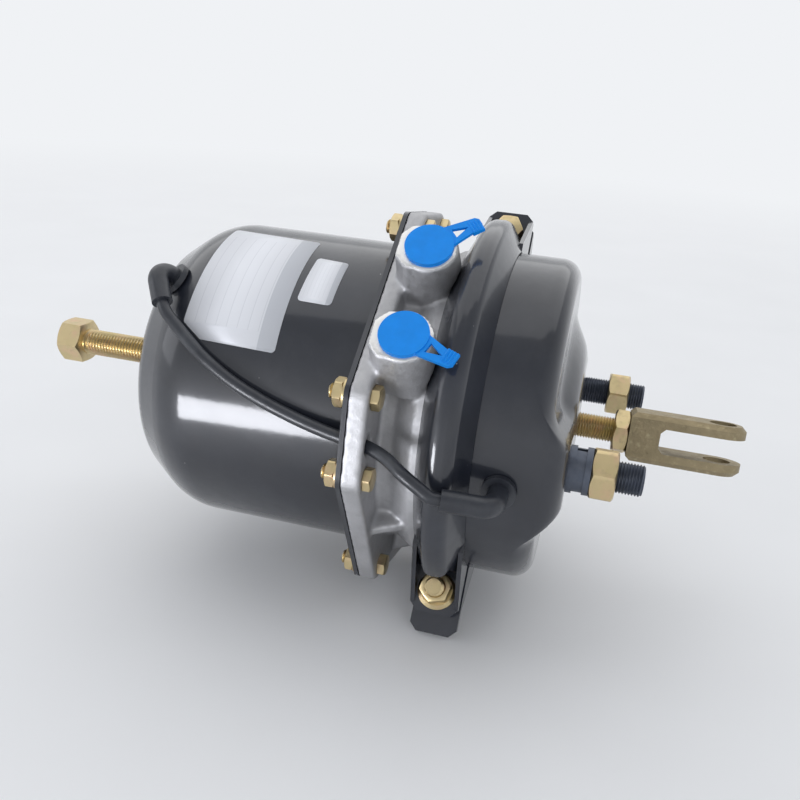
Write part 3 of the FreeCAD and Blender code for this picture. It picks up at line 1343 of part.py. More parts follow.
def make_plunger_bush():
    body = new_body("plunger_bush")
    bore = size.PlungerRadius + size.RunGap
    rear = -size.WallRear
    flange = rear - size.SeatGap - size.BushFlangeHeight
    turned(body, "plunger_bush_form", [
        (flange, bore),
        (flange, size.BushRadius + size.BushFlange),
        (rear - size.SeatGap, size.BushRadius + size.BushFlange),
        (rear - size.SeatGap, size.BushRadius),
        (-size.WallFront, size.BushRadius),
        (-size.WallFront, bore)])
    half = size.PlungerSealSection / 2 + size.SeatGap
    places = []
    for number, station in enumerate(plunger_seal_stations(), start=1):
        deep = bore + size.PlungerSealSection + size.SeatGap
        turned(body, "plunger_seal_groove_%d" % number, [
            (-station - half, bore - 1), (-station - half, deep),
            (-station + half, deep), (-station + half, bore - 1)], cut=True)
        places.append(FreeCAD.Placement(V(-station.value, 0, 0), ALONG_X))
    keep(body)
    ring = doc.addObject("Part::Torus", "plunger_seal_pattern")
    bind(ring, "Radius1", bore + size.PlungerSealSection / 2 + size.RunGap / 2)
    bind(ring, "Radius2", size.PlungerSealSection / 2)
    keep(copies("plunger_seals", ring, places))


# Release bolt: it turns in the bush in the housing's end and draws the piston back by its washer

def make_release_bolt():
    back = -size.PistonStation - size.PistonWeb
    washer_x = back + size.SeatGap * 2
    nut_x = washer_x + size.ThrustWasherHeight + size.SeatGap * 2
    end_x = nut_x + size.ReleaseEndNutHeight + size.StudChamfer * 2
    radius = size.ReleaseDiameter / 2
    under = -size.ReleaseHeadStation
    head = hex_block("release_head", size.ReleaseHeadAcross, size.ReleaseHeadHeight)
    place(head, under, 0, 0, V(0, 1, 0), -90)
    shank = new_body("release_shank")
    turned(shank, "release_shank_form", [
        (under - 1, 0),
        (under - 1, radius),
        (end_x - size.StudChamfer, radius),
        (end_x, radius - size.StudChamfer),
        (end_x, 0)])
    bolt = fuse("release_bolt", [head, shank])
    keep(bolt)
    washer = new_body("thrust_washer")
    turned(washer, "thrust_washer_form", [
        (washer_x, radius + size.FreeGap),
        (washer_x, size.PlungerBore - size.FreeGap),
        (washer_x + size.ThrustWasherHeight, size.PlungerBore - size.FreeGap),
        (washer_x + size.ThrustWasherHeight, radius + size.FreeGap)])
    keep(washer)
    nut = new_body("release_end_nut")
    turned(nut, "release_end_nut_form", [
        (nut_x, radius + size.SeatGap),
        (nut_x, size.ReleaseEndNutRadius),
        (nut_x + size.ReleaseEndNutHeight, size.ReleaseEndNutRadius),
        (nut_x + size.ReleaseEndNutHeight, radius + size.SeatGap)])
    keep(nut)


def make_release_bush():
    body = new_body("release_bush")
    outer = -size.HousingEnd
    inner = outer + size.SteelWall + size.SeatGap
    bore = size.ReleaseDiameter / 2 + size.RunGap
    turned(body, "release_bush_form", [
        (outer, bore),
        (outer, size.ReleaseBushRadius),
        (inner, size.ReleaseBushRadius),
        (inner, size.ReleaseBushRadius + 1),
        (outer + size.ReleaseBushLength, size.ReleaseBushRadius + 1),
        (outer + size.ReleaseBushLength, bore)])
    return keep(body)


# Port caps: a disc with a plug and a pull tab that has a three-cornered window

def make_port_cap(label, side, tab_turn):
    body = new_body(label)
    disc = new_sketch(body, label + "_disc_outline")
    draw_circle(disc, (0, 0), size.CapDiameter / 2)
    extrude(body, label + "_disc", disc, size.CapThickness)
    tab = new_sketch(body, label + "_tab_outline")
    half = size.CapTabRoot / 2
    tip = size.CapTabWidth / 2
    reach = size.CapTabReach
    corner = tip / 2
    inner = size.CapDiameter / 2 - 5
    draw_outline(tab, [(inner, half), (inner, -half), (reach - corner, -tip), (reach, -tip + corner),
                       (reach, tip - corner), (reach - corner, tip)])
    window_near = size.CapDiameter / 2 + 1.5
    draw_outline(tab, [(window_near, half * 0.42), (window_near, -(half * 0.42)),
                       (reach - size.CapTabWidth, 0)])
    extrude(body, label + "_tab", tab, size.CapTabThickness)
    plug = new_sketch(body, label + "_plug_outline")
    draw_circle(plug, (0, 0), size.CapPlugDiameter / 2)
    extrude(body, label + "_plug", plug, size.CapPlugDepth, reverse=True)
    turn = 90 - size.PortAngle
    lift = FreeCAD.Rotation(V(1, 0, 0), turn.value)
    spin = FreeCAD.Rotation(V(0, 0, 1), as_size(tab_turn).value)
    spread = size.PortSpread.value * side
    centre = lift.multVec(V(-size.PortStation.value, spread, size.PortHeight.value))
    body.Placement = FreeCAD.Placement(centre, lift.multiply(spin))
    return keep(body)


# Breather line: a nipple and a rubber elbow on each housing, and the tube between them

def bent_path(points, radii):
    """Straight runs through the points, joined by tangent arcs."""
    edges = []
    start = points[0]
    for index in range(1, len(points) - 1):
        corner = points[index]
        inward = (points[index - 1] - corner).normalize()
        onward = (points[index + 1] - corner).normalize()
        opening = inward.getAngle(onward)
        cut = radii[index - 1] / math.tan(opening / 2)
        bisector = (inward + onward).normalize()
        centre = corner + bisector * (radii[index - 1] / math.sin(opening / 2))
        a = corner + inward * cut
        b = corner + onward * cut
        edges.append(Part.LineSegment(start, a).toShape())
        edges.append(Part.Arc(a, centre - bisector * radii[index - 1], b).toShape())
        start = b
    edges.append(Part.LineSegment(start, points[-1]).toShape())
    return Part.Wire(edges)


def largest_radii(points):
    """The brief arc radius at each corner that its two runs allow."""
    radii = []
    for index in range(1, len(points) - 1):
        inward = points[index - 1] - points[index]
        onward = points[index + 1] - points[index]
        turn = math.pi - inward.getAngle(onward)
        radii.append(0.45 * min(inward.Length, onward.Length) / math.tan(turn / 2))
    return radii


def pipe(path, radius):
    start = path.OrderedEdges[0]
    direction = start.tangentAt(start.FirstParameter)
    section = Part.Wire([Part.makeCircle(radius, start.valueAt(start.FirstParameter), direction)])
    solid = path.makePipeShell([section], True, True)
    expected = math.pi * radius * radius * path.Length
    if abs(solid.Volume / expected - 1) > 0.01:
        raise RuntimeError("a tube came out with the wrong volume")
    return solid


def around(station, radius, angle):
    turn = math.radians(angle)
    return V(-station, -radius * math.cos(turn), radius * math.sin(turn))


def front_elbow_line():
    """Corner points of the front elbow: out of the bowl, then back over the clamp band."""
    angle = size.FrontVentAngle.value
    station = size.FrontVentStation.value
    crown = (size.BandCrownRadius + size.ElbowDiameter / 2 + size.FreeGap).value
    foot = around(station, size.BowlRadius.value + size.FreeGap.value, angle)
    corner = around(station, crown - size.FrontElbowDrop.value, angle)
    end = around(station + size.FrontElbowReach.value, crown, angle + 1)
    return foot, corner, end


def rear_elbow_line():
    """Corner points of the rear elbow: out of the end cone, then along the housing."""
    foot, normal = rear_vent()
    corner = foot + normal * size.RearElbowRise.value
    hose = size.SpringHousingRadius + size.HoseDiameter / 2 + size.RearElbowRoom
    station = size.RearVentStation - size.RearElbowLead
    end = around(station.value, hose.value, size.RearElbowAngle.value)
    return foot + normal * size.FreeGap.value, corner, end


def hose_points():
    """The breather tube's route: station, radius and angle, chosen by hand."""
    clear = (size.SpringHousingRadius + size.HoseDiameter / 2 + size.HoseRoom).value
    crown = (size.BandCrownRadius + size.ElbowDiameter / 2 + size.FreeGap).value
    hole = size.HoseHoleCircle.value
    route = [
        (201.2, clear, 29.6), (187.7, clear, 23.0), (170.0, clear, 16.6), (151.0, clear, 11.8),
        (131.0, clear + 0.4, 8.0), (112.0, clear + 3.0, 5.9), (97.0, hole + 0.2, 5.3),
        (84.5, hole + 6.2, 4.3), (72.5, crown - 1.6, 2.0), (63.0, crown, -0.6)]
    rear_out, rear_in = socket_run(rear_elbow_line())
    front_out, front_in = socket_run(front_elbow_line())
    return [rear_in, rear_out] + [around(*stop) for stop in route] + [front_out, front_in]


def socket_run(line):
    """Two points on the line of an elbow's open end: one outside it and one in its socket."""
    outward = (line[2] - line[1]).normalize()
    return line[2] + outward * size.HoseLead.value, line[2] - outward * size.HoseSocket.value


def hollow_elbow(label, line, bore):
    """A bent rubber tube with a wide foot on its housing and sockets for nipple and tube."""
    foot, corner, end = line
    path = bent_path([foot, corner, end], [size.ElbowBend.value])
    skin = pipe(path, size.ElbowDiameter.value / 2)
    direction = (corner - foot).normalize()
    pad = Part.makeCylinder(size.ElbowFootDiameter.value / 2, size.ElbowFootHeight.value, foot, direction)
    core = pipe(bent_path([foot, corner, end], [size.ElbowBend.value]), bore)
    node = doc.addObject("Part::Feature", label)
    node.Shape = skin.fuse(pad).cut(core).removeSplitter()
    node.Label = label
    return keep(node)


def make_nipple(label, foot, direction, length_in, length_out):
    radius = size.NippleDiameter.value / 2
    start = foot - direction * length_in
    tube = Part.makeCylinder(radius, length_in + length_out, start, direction)
    bore = Part.makeCylinder(size.NippleBore.value / 2, length_in + length_out, start, direction)
    node = doc.addObject("Part::Feature", label)
    node.Shape = tube.cut(bore)
    node.Label = label
    return keep(node)


def make_breather():
    hose = size.HoseDiameter.value / 2
    core = hose + size.SeatGap.value
    front = front_elbow_line()
    rear = rear_elbow_line()
    hollow_elbow("front_elbow", front, core)
    hollow_elbow("rear_elbow", rear, core)
    wall = size.SteelWall.value
    gap = size.FreeGap.value
    straight = (front[1] - front[0]).Length - size.ElbowBend.value * 1.3
    make_nipple("front_vent_nipple", around(size.FrontVentStation.value, size.BowlRadius.value,
                                            size.FrontVentAngle.value),
                around(0, 1, size.FrontVentAngle.value), wall + 1, max(straight, gap + 2))
    foot, normal = rear_vent()
    make_nipple("rear_vent_nipple", foot, normal, wall + 1, gap + 1)
    route = hose_points()
    radii = largest_radii(route)
    print("breather tube arc radii", [round(radius, 1) for radius in radii])
    path = bent_path(route, radii)
    node = doc.addObject("Part::Feature", "breather_tube")
    node.Shape = pipe(path, hose)
    node.Label = "breather_tube"
    print("breather tube length", round(path.Length, 1))
    return keep(node)


make_front_housing()
make_middle_body()
make_flange_seal()
make_spring_housing()
make_clamp()
make_flange_fasteners()
make_studs()
make_push_rod()
make_rod_guide()
make_diaphragm()
make_springs()
make_spring_seat()
make_spring_piston()
make_plunger()
make_plunger_bush()
make_release_bolt()
make_release_bush()
make_port_cap("upper_port_cap", 1, size.UpperTabTurn)
make_port_cap("lower_port_cap", -1, size.LowerTabTurn)
make_breather()

doc.recompute()
for thing in doc.Objects:
    if "Invalid" in thing.State or "Error" in thing.State:
        raise RuntimeError("%s failed: %s" % (thing.Label, thing.State))

os.makedirs("parts", exist_ok=True)
for node in NODES:
    shape = node.Shape
    if shape.isNull() or not shape.isValid() or not shape.Solids:
        raise RuntimeError("%s has no valid solid" % node.Label)
    print("%-22s %2d solids %10.1f mm3" % (node.Label, len(shape.Solids), shape.Volume))
    shape.exportStep("parts/%s.step" % node.Label)
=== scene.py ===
"""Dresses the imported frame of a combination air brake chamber: paint, plating, threads and labels."""

import json
import math

import bmesh
import bpy
from bpy.props import FloatProperty, FloatVectorProperty, PointerProperty
from mathutils import Matrix, Vector


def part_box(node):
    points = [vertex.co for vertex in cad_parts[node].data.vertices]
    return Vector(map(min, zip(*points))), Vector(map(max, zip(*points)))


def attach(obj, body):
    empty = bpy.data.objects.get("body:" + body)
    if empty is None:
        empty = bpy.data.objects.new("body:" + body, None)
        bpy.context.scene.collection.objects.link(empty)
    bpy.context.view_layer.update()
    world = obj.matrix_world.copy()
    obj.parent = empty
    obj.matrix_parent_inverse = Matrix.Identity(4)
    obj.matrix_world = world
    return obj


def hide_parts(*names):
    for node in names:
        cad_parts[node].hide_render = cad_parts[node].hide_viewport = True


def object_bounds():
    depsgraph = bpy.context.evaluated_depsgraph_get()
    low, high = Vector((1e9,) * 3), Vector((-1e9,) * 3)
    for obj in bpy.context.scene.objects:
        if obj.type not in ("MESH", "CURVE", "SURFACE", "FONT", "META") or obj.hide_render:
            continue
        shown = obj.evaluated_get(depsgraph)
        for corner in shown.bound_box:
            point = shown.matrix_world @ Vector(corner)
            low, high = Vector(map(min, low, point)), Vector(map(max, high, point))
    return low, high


bl_info = {
    "name": "Air brake chamber",
    "version": (1, 0, 0),
    "blender": (4, 5, 0),
    "location": "View3D > Sidebar > Brake chamber",
    "description": "Builds the visible pieces, finishes and stage of a combination brake chamber",
    "category": "Object",
}

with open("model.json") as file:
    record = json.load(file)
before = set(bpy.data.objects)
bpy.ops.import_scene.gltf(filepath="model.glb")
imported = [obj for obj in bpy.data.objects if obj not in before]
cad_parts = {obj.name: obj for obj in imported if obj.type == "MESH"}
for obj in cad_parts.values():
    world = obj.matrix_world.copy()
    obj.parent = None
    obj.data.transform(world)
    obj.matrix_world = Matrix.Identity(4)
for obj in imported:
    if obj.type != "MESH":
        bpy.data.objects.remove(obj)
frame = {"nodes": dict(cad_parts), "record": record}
cad_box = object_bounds()

MM = 0.001


def linear(code):
    """An sRGB hex colour as the linear colour that shaders use."""
    channels = [int(code[start:start + 2], 16) / 255 for start in (1, 3, 5)]
    curve = [c / 12.92 if c <= 0.04045 else ((c + 0.055) / 1.055) ** 2.4 for c in channels]
    return (*curve, 1.0)


def thread_pitch(turning, travelling):
    """The pitch that couples a turning joint to its travel, in metres a turn."""
    for row in frame["record"]["behaviour"]["couplings"]:
        if row["joint"] == turning and row["follows"] == travelling:
            return 2 * math.pi / row["ratio"]
    raise ValueError("no coupling between %s and %s" % (turning, travelling))


# Sizes and colours that a user would change

def length(value, text):
    """A length that a user may change, given in millimetres."""
    return FloatProperty(name=text.capitalize(), description=text.capitalize() + ", in metres",
                         default=value * MM, unit="LENGTH", precision=5)


def degrees(value, text):
    """An angle that a user may change."""
    return FloatProperty(name=text.capitalize(), description=text.capitalize(),
                         default=math.radians(value), unit="ROTATION")


def colour(code, text):
    """A colour that a user may change, given as sRGB hex."""
    return FloatVectorProperty(name=text.capitalize(), description="Colour of the " + text,
                               default=linear(code), size=4, subtype="COLOR", min=0, max=1)


class ChamberSizes(bpy.types.PropertyGroup):
    """Sizes of the pieces built here; stations count from the mounting face along the rod's axis."""

    bowl_radius: length(89.5, "front housing outside radius")
    bowl_step: length(10.5, "front ring behind the mounting face")
    bowl_knee: length(11, "rounding of the front ring")
    bowl_wall: length(3, "sheet of the front housing")
    plateau_radius: length(44, "raised middle, radius")
    plateau_flare: length(14, "growth of the middle down to the ring")
    bar_half: length(17, "raised bar, half its width")
    bar_flare: length(12, "growth of the bar's half width over the step")
    bar_knee: length(12, "rounding of the bar's ends")
    press_blend: length(7, "soft blend where pressed forms meet")
    guide_radius: length(11.05, "hole for the push rod guide")
    rim_foot: length(-47.76, "station where the bowl flares to its rim")
    rim_front: length(-50.31, "front of the rim under the clamp band")
    rim_rear: length(-53.81, "rear of the rim under the clamp band")
    rim_radius: length(94.5, "rim under the clamp band, radius")
    rod_radius: length(7, "push rod, thread radius")
    stud_radius: length(8, "mounting studs, thread radius")
    stud_head: length(11, "round head of a stud inside the housing, radius")
    stud_head_height: length(5, "head of a stud, height")
    rod_pitch: length(1.5, "thread pitch of the push rod and studs")
    rod_thread_start: length(-64, "inner end of the push rod's thread")
    nut_play: length(0.12, "play between a thread and its nut")
    flange_bolt_radius: length(4, "flange bolts, thread radius")
    flange_head: length(4.2, "head of a flange bolt, height")
    bolt_pitch: length(1.25, "thread pitch of the flange bolts")
    clamp_bolt_radius: length(5.1, "bore of the clamp nuts, radius")
    clamp_pitch: length(1.5, "thread pitch of the clamp bolts")
    clamp_head: length(6.4, "head of a clamp bolt, height")
    clamp_flange: length(10.5, "flange of a clamp nut, radius")
    clamp_nut_across: length(15, "clamp nut, across the flats")
    release_radius: length(8, "release bolt, thread radius")
    release_head: length(15.4, "head of the release bolt, height")
    release_across: length(24, "head of the release bolt, across the flats")
    edge: length(0.35, "broken edges of small steel pieces")
    band_edge: length(0.9, "rounded edges of the clamp band's lugs")
    cap_edge: length(0.6, "rounded edges of the port caps")
    grip_run: length(6.2, "grip on a cap's pull tab, length")
    grip_half: length(3.4, "grip on a cap's pull tab, half its width")
    grip_height: length(3.4, "grip on a cap's pull tab, height")
    grip_rib: length(0.5, "ribs across the grip, depth")
    cast_grain: length(1.25, "finest form kept on the casting")
    port_height: length(109.5, "milled port faces above the rod's axis")
    label_radius: length(86.03, "labels on the spring housing, radius")
    label_sheet: length(0.14, "thickness of the label foil")
    label_corner: length(2.2, "rounded corners of the labels")
    port_angle: degrees(48.5, "direction of the air ports from the near side upwards")


class ChamberColours(bpy.types.PropertyGroup):
    """Colours of the finishes."""

    enamel: colour("#161A24", "black stoving enamel")
    dust: colour("#8C8F96", "dust on the enamel")
    nick: colour("#A9ABAF", "bare steel in nicks of the enamel")
    aluminium: colour("#BEBEC0", "cast aluminium")
    machined: colour("#E4E3E1", "machined aluminium")
    zinc: colour("#D2BF94", "yellow zinc plating")
    zinc_pink: colour("#DDB79C", "pink tint of the zinc plating")
    zinc_green: colour("#B9AE7E", "green tint of the zinc plating")
    zinc_worn: colour("#A79C83", "rubbed zinc plating")
    forging: colour("#A59779", "yellow zinc on the rough forging")
    forging_worn: colour("#CFC3A2", "rubbed zinc on the forging")
    phosphate: colour("#5A606C", "black phosphated steel")
    phosphate_worn: colour("#6F737C", "rubbed phosphated steel")
    spring_steel: colour("#6E7178", "oil tempered spring steel")
    plunger_steel: colour("#C4C6C9", "ground plunger steel")
    acetal: colour("#23262B", "bearing plastic")
    acetal_worn: colour("#2C3036", "rubbed bearing plastic")
    rubber: colour("#23262E", "black rubber")
    bloom: colour("#45494F", "bloom on the rubber")
    cap: colour("#078AEA", "blue polyethylene")
    foil: colour("#E3E5EB", "label foil")
    foil_print: colour("#C9CCD3", "grey print on the labels")
    floor: colour("#EDEEF0", "floor")
    backdrop: colour("#F0F2F5", "backdrop")


# Nodes and materials

# Grain below about 0.6 mm is too fine to show in a render, so that of the casting, plating, phosphate,
# rubber, plastic and turned steel is drawn at 0.6 to 1.2 mm, coarser than real.
def grain(millimetres):
    """Texture scale for a pattern of this real size, in object space in metres."""
    return 1 / (millimetres * MM)


def add_node(tree, kind, values=None, links=None, **settings):
    """Adds one node, sets its properties and socket values and joins its inputs."""
    node = tree.nodes.new(kind)
    for name, value in settings.items():
        setattr(node, name, value)
    for socket, value in (values or {}).items():
        node.inputs[socket].default_value = value
    for socket, source in (links or {}).items():
        tree.links.new(source, node.inputs[socket])
    return node


def new_material(name):
    """Starts a material: its node tree, and the object coordinates for its patterns."""
    material = bpy.data.materials.new(name)
    material.use_nodes = True
    tree = material.node_tree
    tree.nodes.clear()
    return tree, add_node(tree, "ShaderNodeTexCoord").outputs["Object"]


def lay_surface(tree, values, tone, roughness, relief, depth, normals=("Normal",)):
    """Ends a material: fixed values, and patterns for colour, roughness and relief, its depth in mm."""
    bump = add_node(tree, "ShaderNodeBump", {"Distance": depth * MM}, {"Height": relief}).outputs[0]
    links = {"Base Color": tone, "Roughness": roughness, **{name: bump for name in normals}}
    shader = add_node(tree, "ShaderNodeBsdfPrincipled", values, links)
    add_node(tree, "ShaderNodeOutputMaterial", links={"Surface": shader.outputs[0]})


def patches(tree, place, millimetres, start, end, detail=3.0, edges=(0.35, 0.7)):
    """Cloudy patches of a real size, as a value from start to end."""
    cloud = add_node(tree, "ShaderNodeTexNoise",
                     {"Scale": grain(millimetres), "Detail": detail, "Roughness": 0.58},
                     {"Vector": place})
    return add_node(tree, "ShaderNodeMapRange",
                    {"From Min": edges[0], "From Max": edges[1], "To Min": start, "To Max": end},
                    {"Value": cloud.outputs[0]}).outputs[0]


def shaded(tone, share):
    """A colour at a share of its brightness."""
    return (*[channel * share for channel in tone[:3]], 1.0)


def black_enamel(colours):
    # Stoving enamel sprayed on pressed steel: blue black under a clear gloss, with a faint orange peel
    # that softens reflections, thin dust on top and a few pale nicks.
    tree, place = new_material("black_stoving_enamel")
    coat = add_node(tree, "ShaderNodeMix", {6: colours.enamel, 7: shaded(colours.enamel, 1.5)},
                    {0: patches(tree, place, 60, 0, 1)}, data_type="RGBA").outputs[2]
    cells = add_node(tree, "ShaderNodeTexVoronoi", {"Scale": grain(11)}, {"Vector": place})
    speck = add_node(tree, "ShaderNodeMapRange",
                     {"From Min": 0.024, "From Max": 0.04, "To Min": 0.5, "To Max": 0.0},
                     {"Value": cells.outputs["Distance"]})
    chosen = add_node(tree, "ShaderNodeMapRange", {"From Min": 0.62, "From Max": 0.66},
                      {"Value": cells.outputs["Color"]})
    nicks = add_node(tree, "ShaderNodeMath", links={0: speck.outputs[0], 1: chosen.outputs[0]},
                     operation="MULTIPLY").outputs[0]
    dust = patches(tree, place, 35, 0, 0.05, 6, (0.45, 0.75))
    dusty = add_node(tree, "ShaderNodeMix", {7: colours.dust}, {0: dust, 6: coat},
                     data_type="RGBA").outputs[2]
    nicked = add_node(tree, "ShaderNodeMix", {7: colours.nick}, {0: nicks, 6: dusty},
                      data_type="RGBA").outputs[2]
    peel = patches(tree, place, 5, 0, 1, 1)
    lay_surface(tree, {"Specular IOR Level": 0.3, "Coat Weight": 1.0, "Coat Roughness": 0.12,
                       "Coat IOR": 1.52},
                nicked, patches(tree, place, 25, 0.4, 0.52, 5), peel, 0.012, ("Normal", "Coat Normal"))


def cast_aluminium(colours, port_direction, port_height):
    # Die cast aluminium, shot blasted: a matt light grey skin with a fine grain and slightly darker
    # flow marks. The port faces are milled, so they are brighter and smoother.
    tree, place = new_material("die_cast_aluminium")
    skin = add_node(tree, "ShaderNodeMix", {6: shaded(colours.aluminium, 0.86), 7: colours.aluminium},
                    {0: patches(tree, place, 22, 0, 1, 5)}, data_type="RGBA").outputs[2]
    stained = add_node(tree, "ShaderNodeMix", {7: shaded(colours.aluminium, 0.55)},
                       {0: patches(tree, place, 7, 0, 0.3, 5, (0.56, 0.74)), 6: skin},
                       data_type="RGBA").outputs[2]
    height = add_node(tree, "ShaderNodeVectorMath", {1: port_direction}, {0: place},
                      operation="DOT_PRODUCT").outputs["Value"]
    milled = add_node(tree, "ShaderNodeMapRange", {"From Min": port_height - 0.5 * MM,
                                                   "From Max": port_height - 0.35 * MM},
                      {"Value": height}).outputs[0]
    tone = add_node(tree, "ShaderNodeMix", {7: colours.machined}, {0: milled, 6: stained},
                    data_type="RGBA").outputs[2]
    rough = add_node(tree, "ShaderNodeMix", {3: 0.34},
                     {0: milled, 2: patches(tree, place, 3, 0.5, 0.66, 4)}).outputs[0]
    lay_surface(tree, {"Metallic": 0.85}, tone, rough, patches(tree, place, 0.9, 0, 1, 4), 0.05)


def yellow_zinc(name, colours, rough, tint, worn):
    # Yellow passivated zinc on steel: a thin gold metal film whose tint drifts to pink and green and
    # greys where it is rubbed.
    tree, place = new_material(name)
    film = add_node(tree, "ShaderNodeMix", {6: colours.zinc, 7: colours.zinc_pink},
                    {0: patches(tree, place, 9, 0, tint, 2, (0.5, 0.72))}, data_type="RGBA").outputs[2]
    green = add_node(tree, "ShaderNodeMix", {7: colours.zinc_green},
                     {0: patches(tree, place, 13, 0, tint, 2, (0.5, 0.75)), 6: film},
                     data_type="RGBA").outputs[2]
    rubbed = add_node(tree, "ShaderNodeMix", {7: colours.zinc_worn},
                      {0: patches(tree, place, 5, 0, worn, 5, (0.55, 0.72)), 6: green},
                      data_type="RGBA").outputs[2]
    lay_surface(tree, {"Metallic": 1.0}, rubbed, patches(tree, place, 2.5, rough - 0.07, rough + 0.1, 4),
                patches(tree, place, 0.7, 0, 1), 0.02)


def forged_zinc(colours):
    # Drop forged steel, shot blasted and yellow zinc plated: a dull olive gold over a pitted skin.
    tree, place = new_material("zinc_plated_forging")
    skin = add_node(tree, "ShaderNodeMix", {6: shaded(colours.forging, 0.8), 7: colours.forging},
                    {0: patches(tree, place, 7, 0, 1, 4)}, data_type="RGBA").outputs[2]
    rubbed = add_node(tree, "ShaderNodeMix", {7: colours.forging_worn},
                      {0: patches(tree, place, 3.5, 0, 0.4, 5, (0.58, 0.72)), 6: skin},
                      data_type="RGBA").outputs[2]
    lay_surface(tree, {"Metallic": 0.9}, rubbed, patches(tree, place, 6, 0.58, 0.44, 4),
                patches(tree, place, 2.2, 0, 1, 5), 0.22)


def phosphated_steel(colours):
    # Black phosphated and oiled steel: slate blue, half matt, with a slight metal glint on worn places.
    tree, place = new_material("black_phosphated_steel")
    tone = add_node(tree, "ShaderNodeMix", {6: colours.phosphate, 7: colours.phosphate_worn},
                    {0: patches(tree, place, 4, 0, 0.6, 4, (0.45, 0.8))}, data_type="RGBA").outputs[2]
    lay_surface(tree, {"Metallic": 0.75}, tone, patches(tree, place, 2, 0.36, 0.52),
                patches(tree, place, 0.8, 0, 1), 0.02)


def moulded_rubber(colours):
    # Moulded and extruded rubber: satin black with a fine matt bloom that greys it in patches.
    tree, place = new_material("black_moulded_rubber")
    bloom = add_node(tree, "ShaderNodeMix", {6: colours.rubber, 7: colours.bloom},
                     {0: patches(tree, place, 12, 0, 0.5, 4, (0.4, 0.75))}, data_type="RGBA").outputs[2]
    lay_surface(tree, {"Specular IOR Level": 0.6}, bloom, patches(tree, place, 4, 0.3, 0.45, 4),
                patches(tree, place, 1.2, 0, 1), 0.02)


def blue_polyethylene(colours):
    # Injection moulded polyethylene: saturated blue, satin, a little light passes under its skin.
    tree, place = new_material("blue_moulded_polyethylene")
    tone = add_node(tree, "ShaderNodeMix", {6: shaded(colours.cap, 0.9), 7: colours.cap},
                    {0: patches(tree, place, 8, 0, 1)}, data_type="RGBA").outputs[2]
    lay_surface(tree, {"Specular IOR Level": 0.25, "Subsurface Weight": 0.05,
                       "Subsurface Scale": 1.5 * MM},
                tone, patches(tree, place, 2.2, 0.42, 0.55), patches(tree, place, 0.6, 0, 1, 2), 0.012)


def label_foil(colours):
    # Printed polyester foil: nearly white with a satin sheen, a grey band along its front edge and
    # faint ruled lines like those of an unfilled form.
    tree, place = new_material("printed_label_foil")
    sheet = add_node(tree, "ShaderNodeUVMap", uv_map="sheet").outputs[0]
    across, along, _ = add_node(tree, "ShaderNodeSeparateXYZ", links={0: sheet}).outputs
    band = add_node(tree, "ShaderNodeMapRange", {"From Min": 0.80, "From Max": 0.805},
                    {"Value": across}).outputs[0]
    rows = add_node(tree, "ShaderNodeMath", {1: 9.0}, {0: across}, operation="MULTIPLY").outputs[0]
    row = add_node(tree, "ShaderNodeMath", links={0: rows}, operation="FRACT").outputs[0]
    ruled = add_node(tree, "ShaderNodeMapRange",
                     {"From Min": 0.05, "From Max": 0.09, "To Min": 0.55, "To Max": 0.0},
                     {"Value": row}).outputs[0]
    edge = add_node(tree, "ShaderNodeMath", {1: 0.5}, {0: along}, operation="SUBTRACT").outputs[0]
    away = add_node(tree, "ShaderNodeMath", links={0: edge}, operation="ABSOLUTE").outputs[0]
    inside = add_node(tree, "ShaderNodeMapRange",
                      {"From Min": 0.38, "From Max": 0.385, "To Min": 1.0, "To Max": 0.0},
                      {"Value": away}).outputs[0]
    lines = add_node(tree, "ShaderNodeMath", links={0: ruled, 1: inside}, operation="MULTIPLY").outputs[0]
    marks = add_node(tree, "ShaderNodeMath", links={0: lines, 1: band}, operation="MAXIMUM").outputs[0]
    tone = add_node(tree, "ShaderNodeMix", {6: colours.foil, 7: colours.foil_print}, {0: marks},
                    data_type="RGBA").outputs[2]
    lay_surface(tree, {"Metallic": 0.05, "Coat Weight": 0.12, "Coat Roughness": 0.35}, tone,
                patches(tree, place, 18, 0.44, 0.56, 4), patches(tree, place, 14, 0, 1, 2), 0.03)


def inner_steel(name, tone, rough):
    # Bright or oiled steel of the inner pieces: plain metal with a drawn or turned grain.
    tree, place = new_material(name)
    drawn = add_node(tree, "ShaderNodeMix", {6: shaded(tone, 0.8), 7: tone},
                     {0: patches(tree, place, 6, 0, 1, 4)}, data_type="RGBA").outputs[2]
    lay_surface(tree, {"Metallic": 1.0}, drawn, patches(tree, place, 1.5, rough - 0.06, rough + 0.08),
                patches(tree, place, 0.8, 0, 1), 0.01)


def bearing_plastic(colours):
    # Turned bearing plastic, such as black acetal: dark, satin, slightly waxy.
    tree, place = new_material("turned_acetal")
    tone = add_node(tree, "ShaderNodeMix", {6: colours.acetal, 7: colours.acetal_worn},
                    {0: patches(tree, place, 5, 0, 1)}, data_type="RGBA").outputs[2]
    lay_surface(tree, {"Subsurface Weight": 0.05, "Subsurface Scale": 1 * MM}, tone,
                patches(tree, place, 2, 0.32, 0.44), patches(tree, place, 0.8, 0, 1), 0.01)


# Mesh forms

THREAD_DEPTH = 0.6134  # in pitches
THREAD_FLAT = 0.15  # flats at crest and root, as a share of a flank
SHANK = 0.9  # a bolt's plain shank, as a share of its thread's radius
STEP_UP = 0.4 * MM  # run over which the shank steps up to the thread
HEX_TURNED = 0.955  # turned end of a hexagon, as a share of its flats
HEX_COUNT = 72  # steps round a hexagon


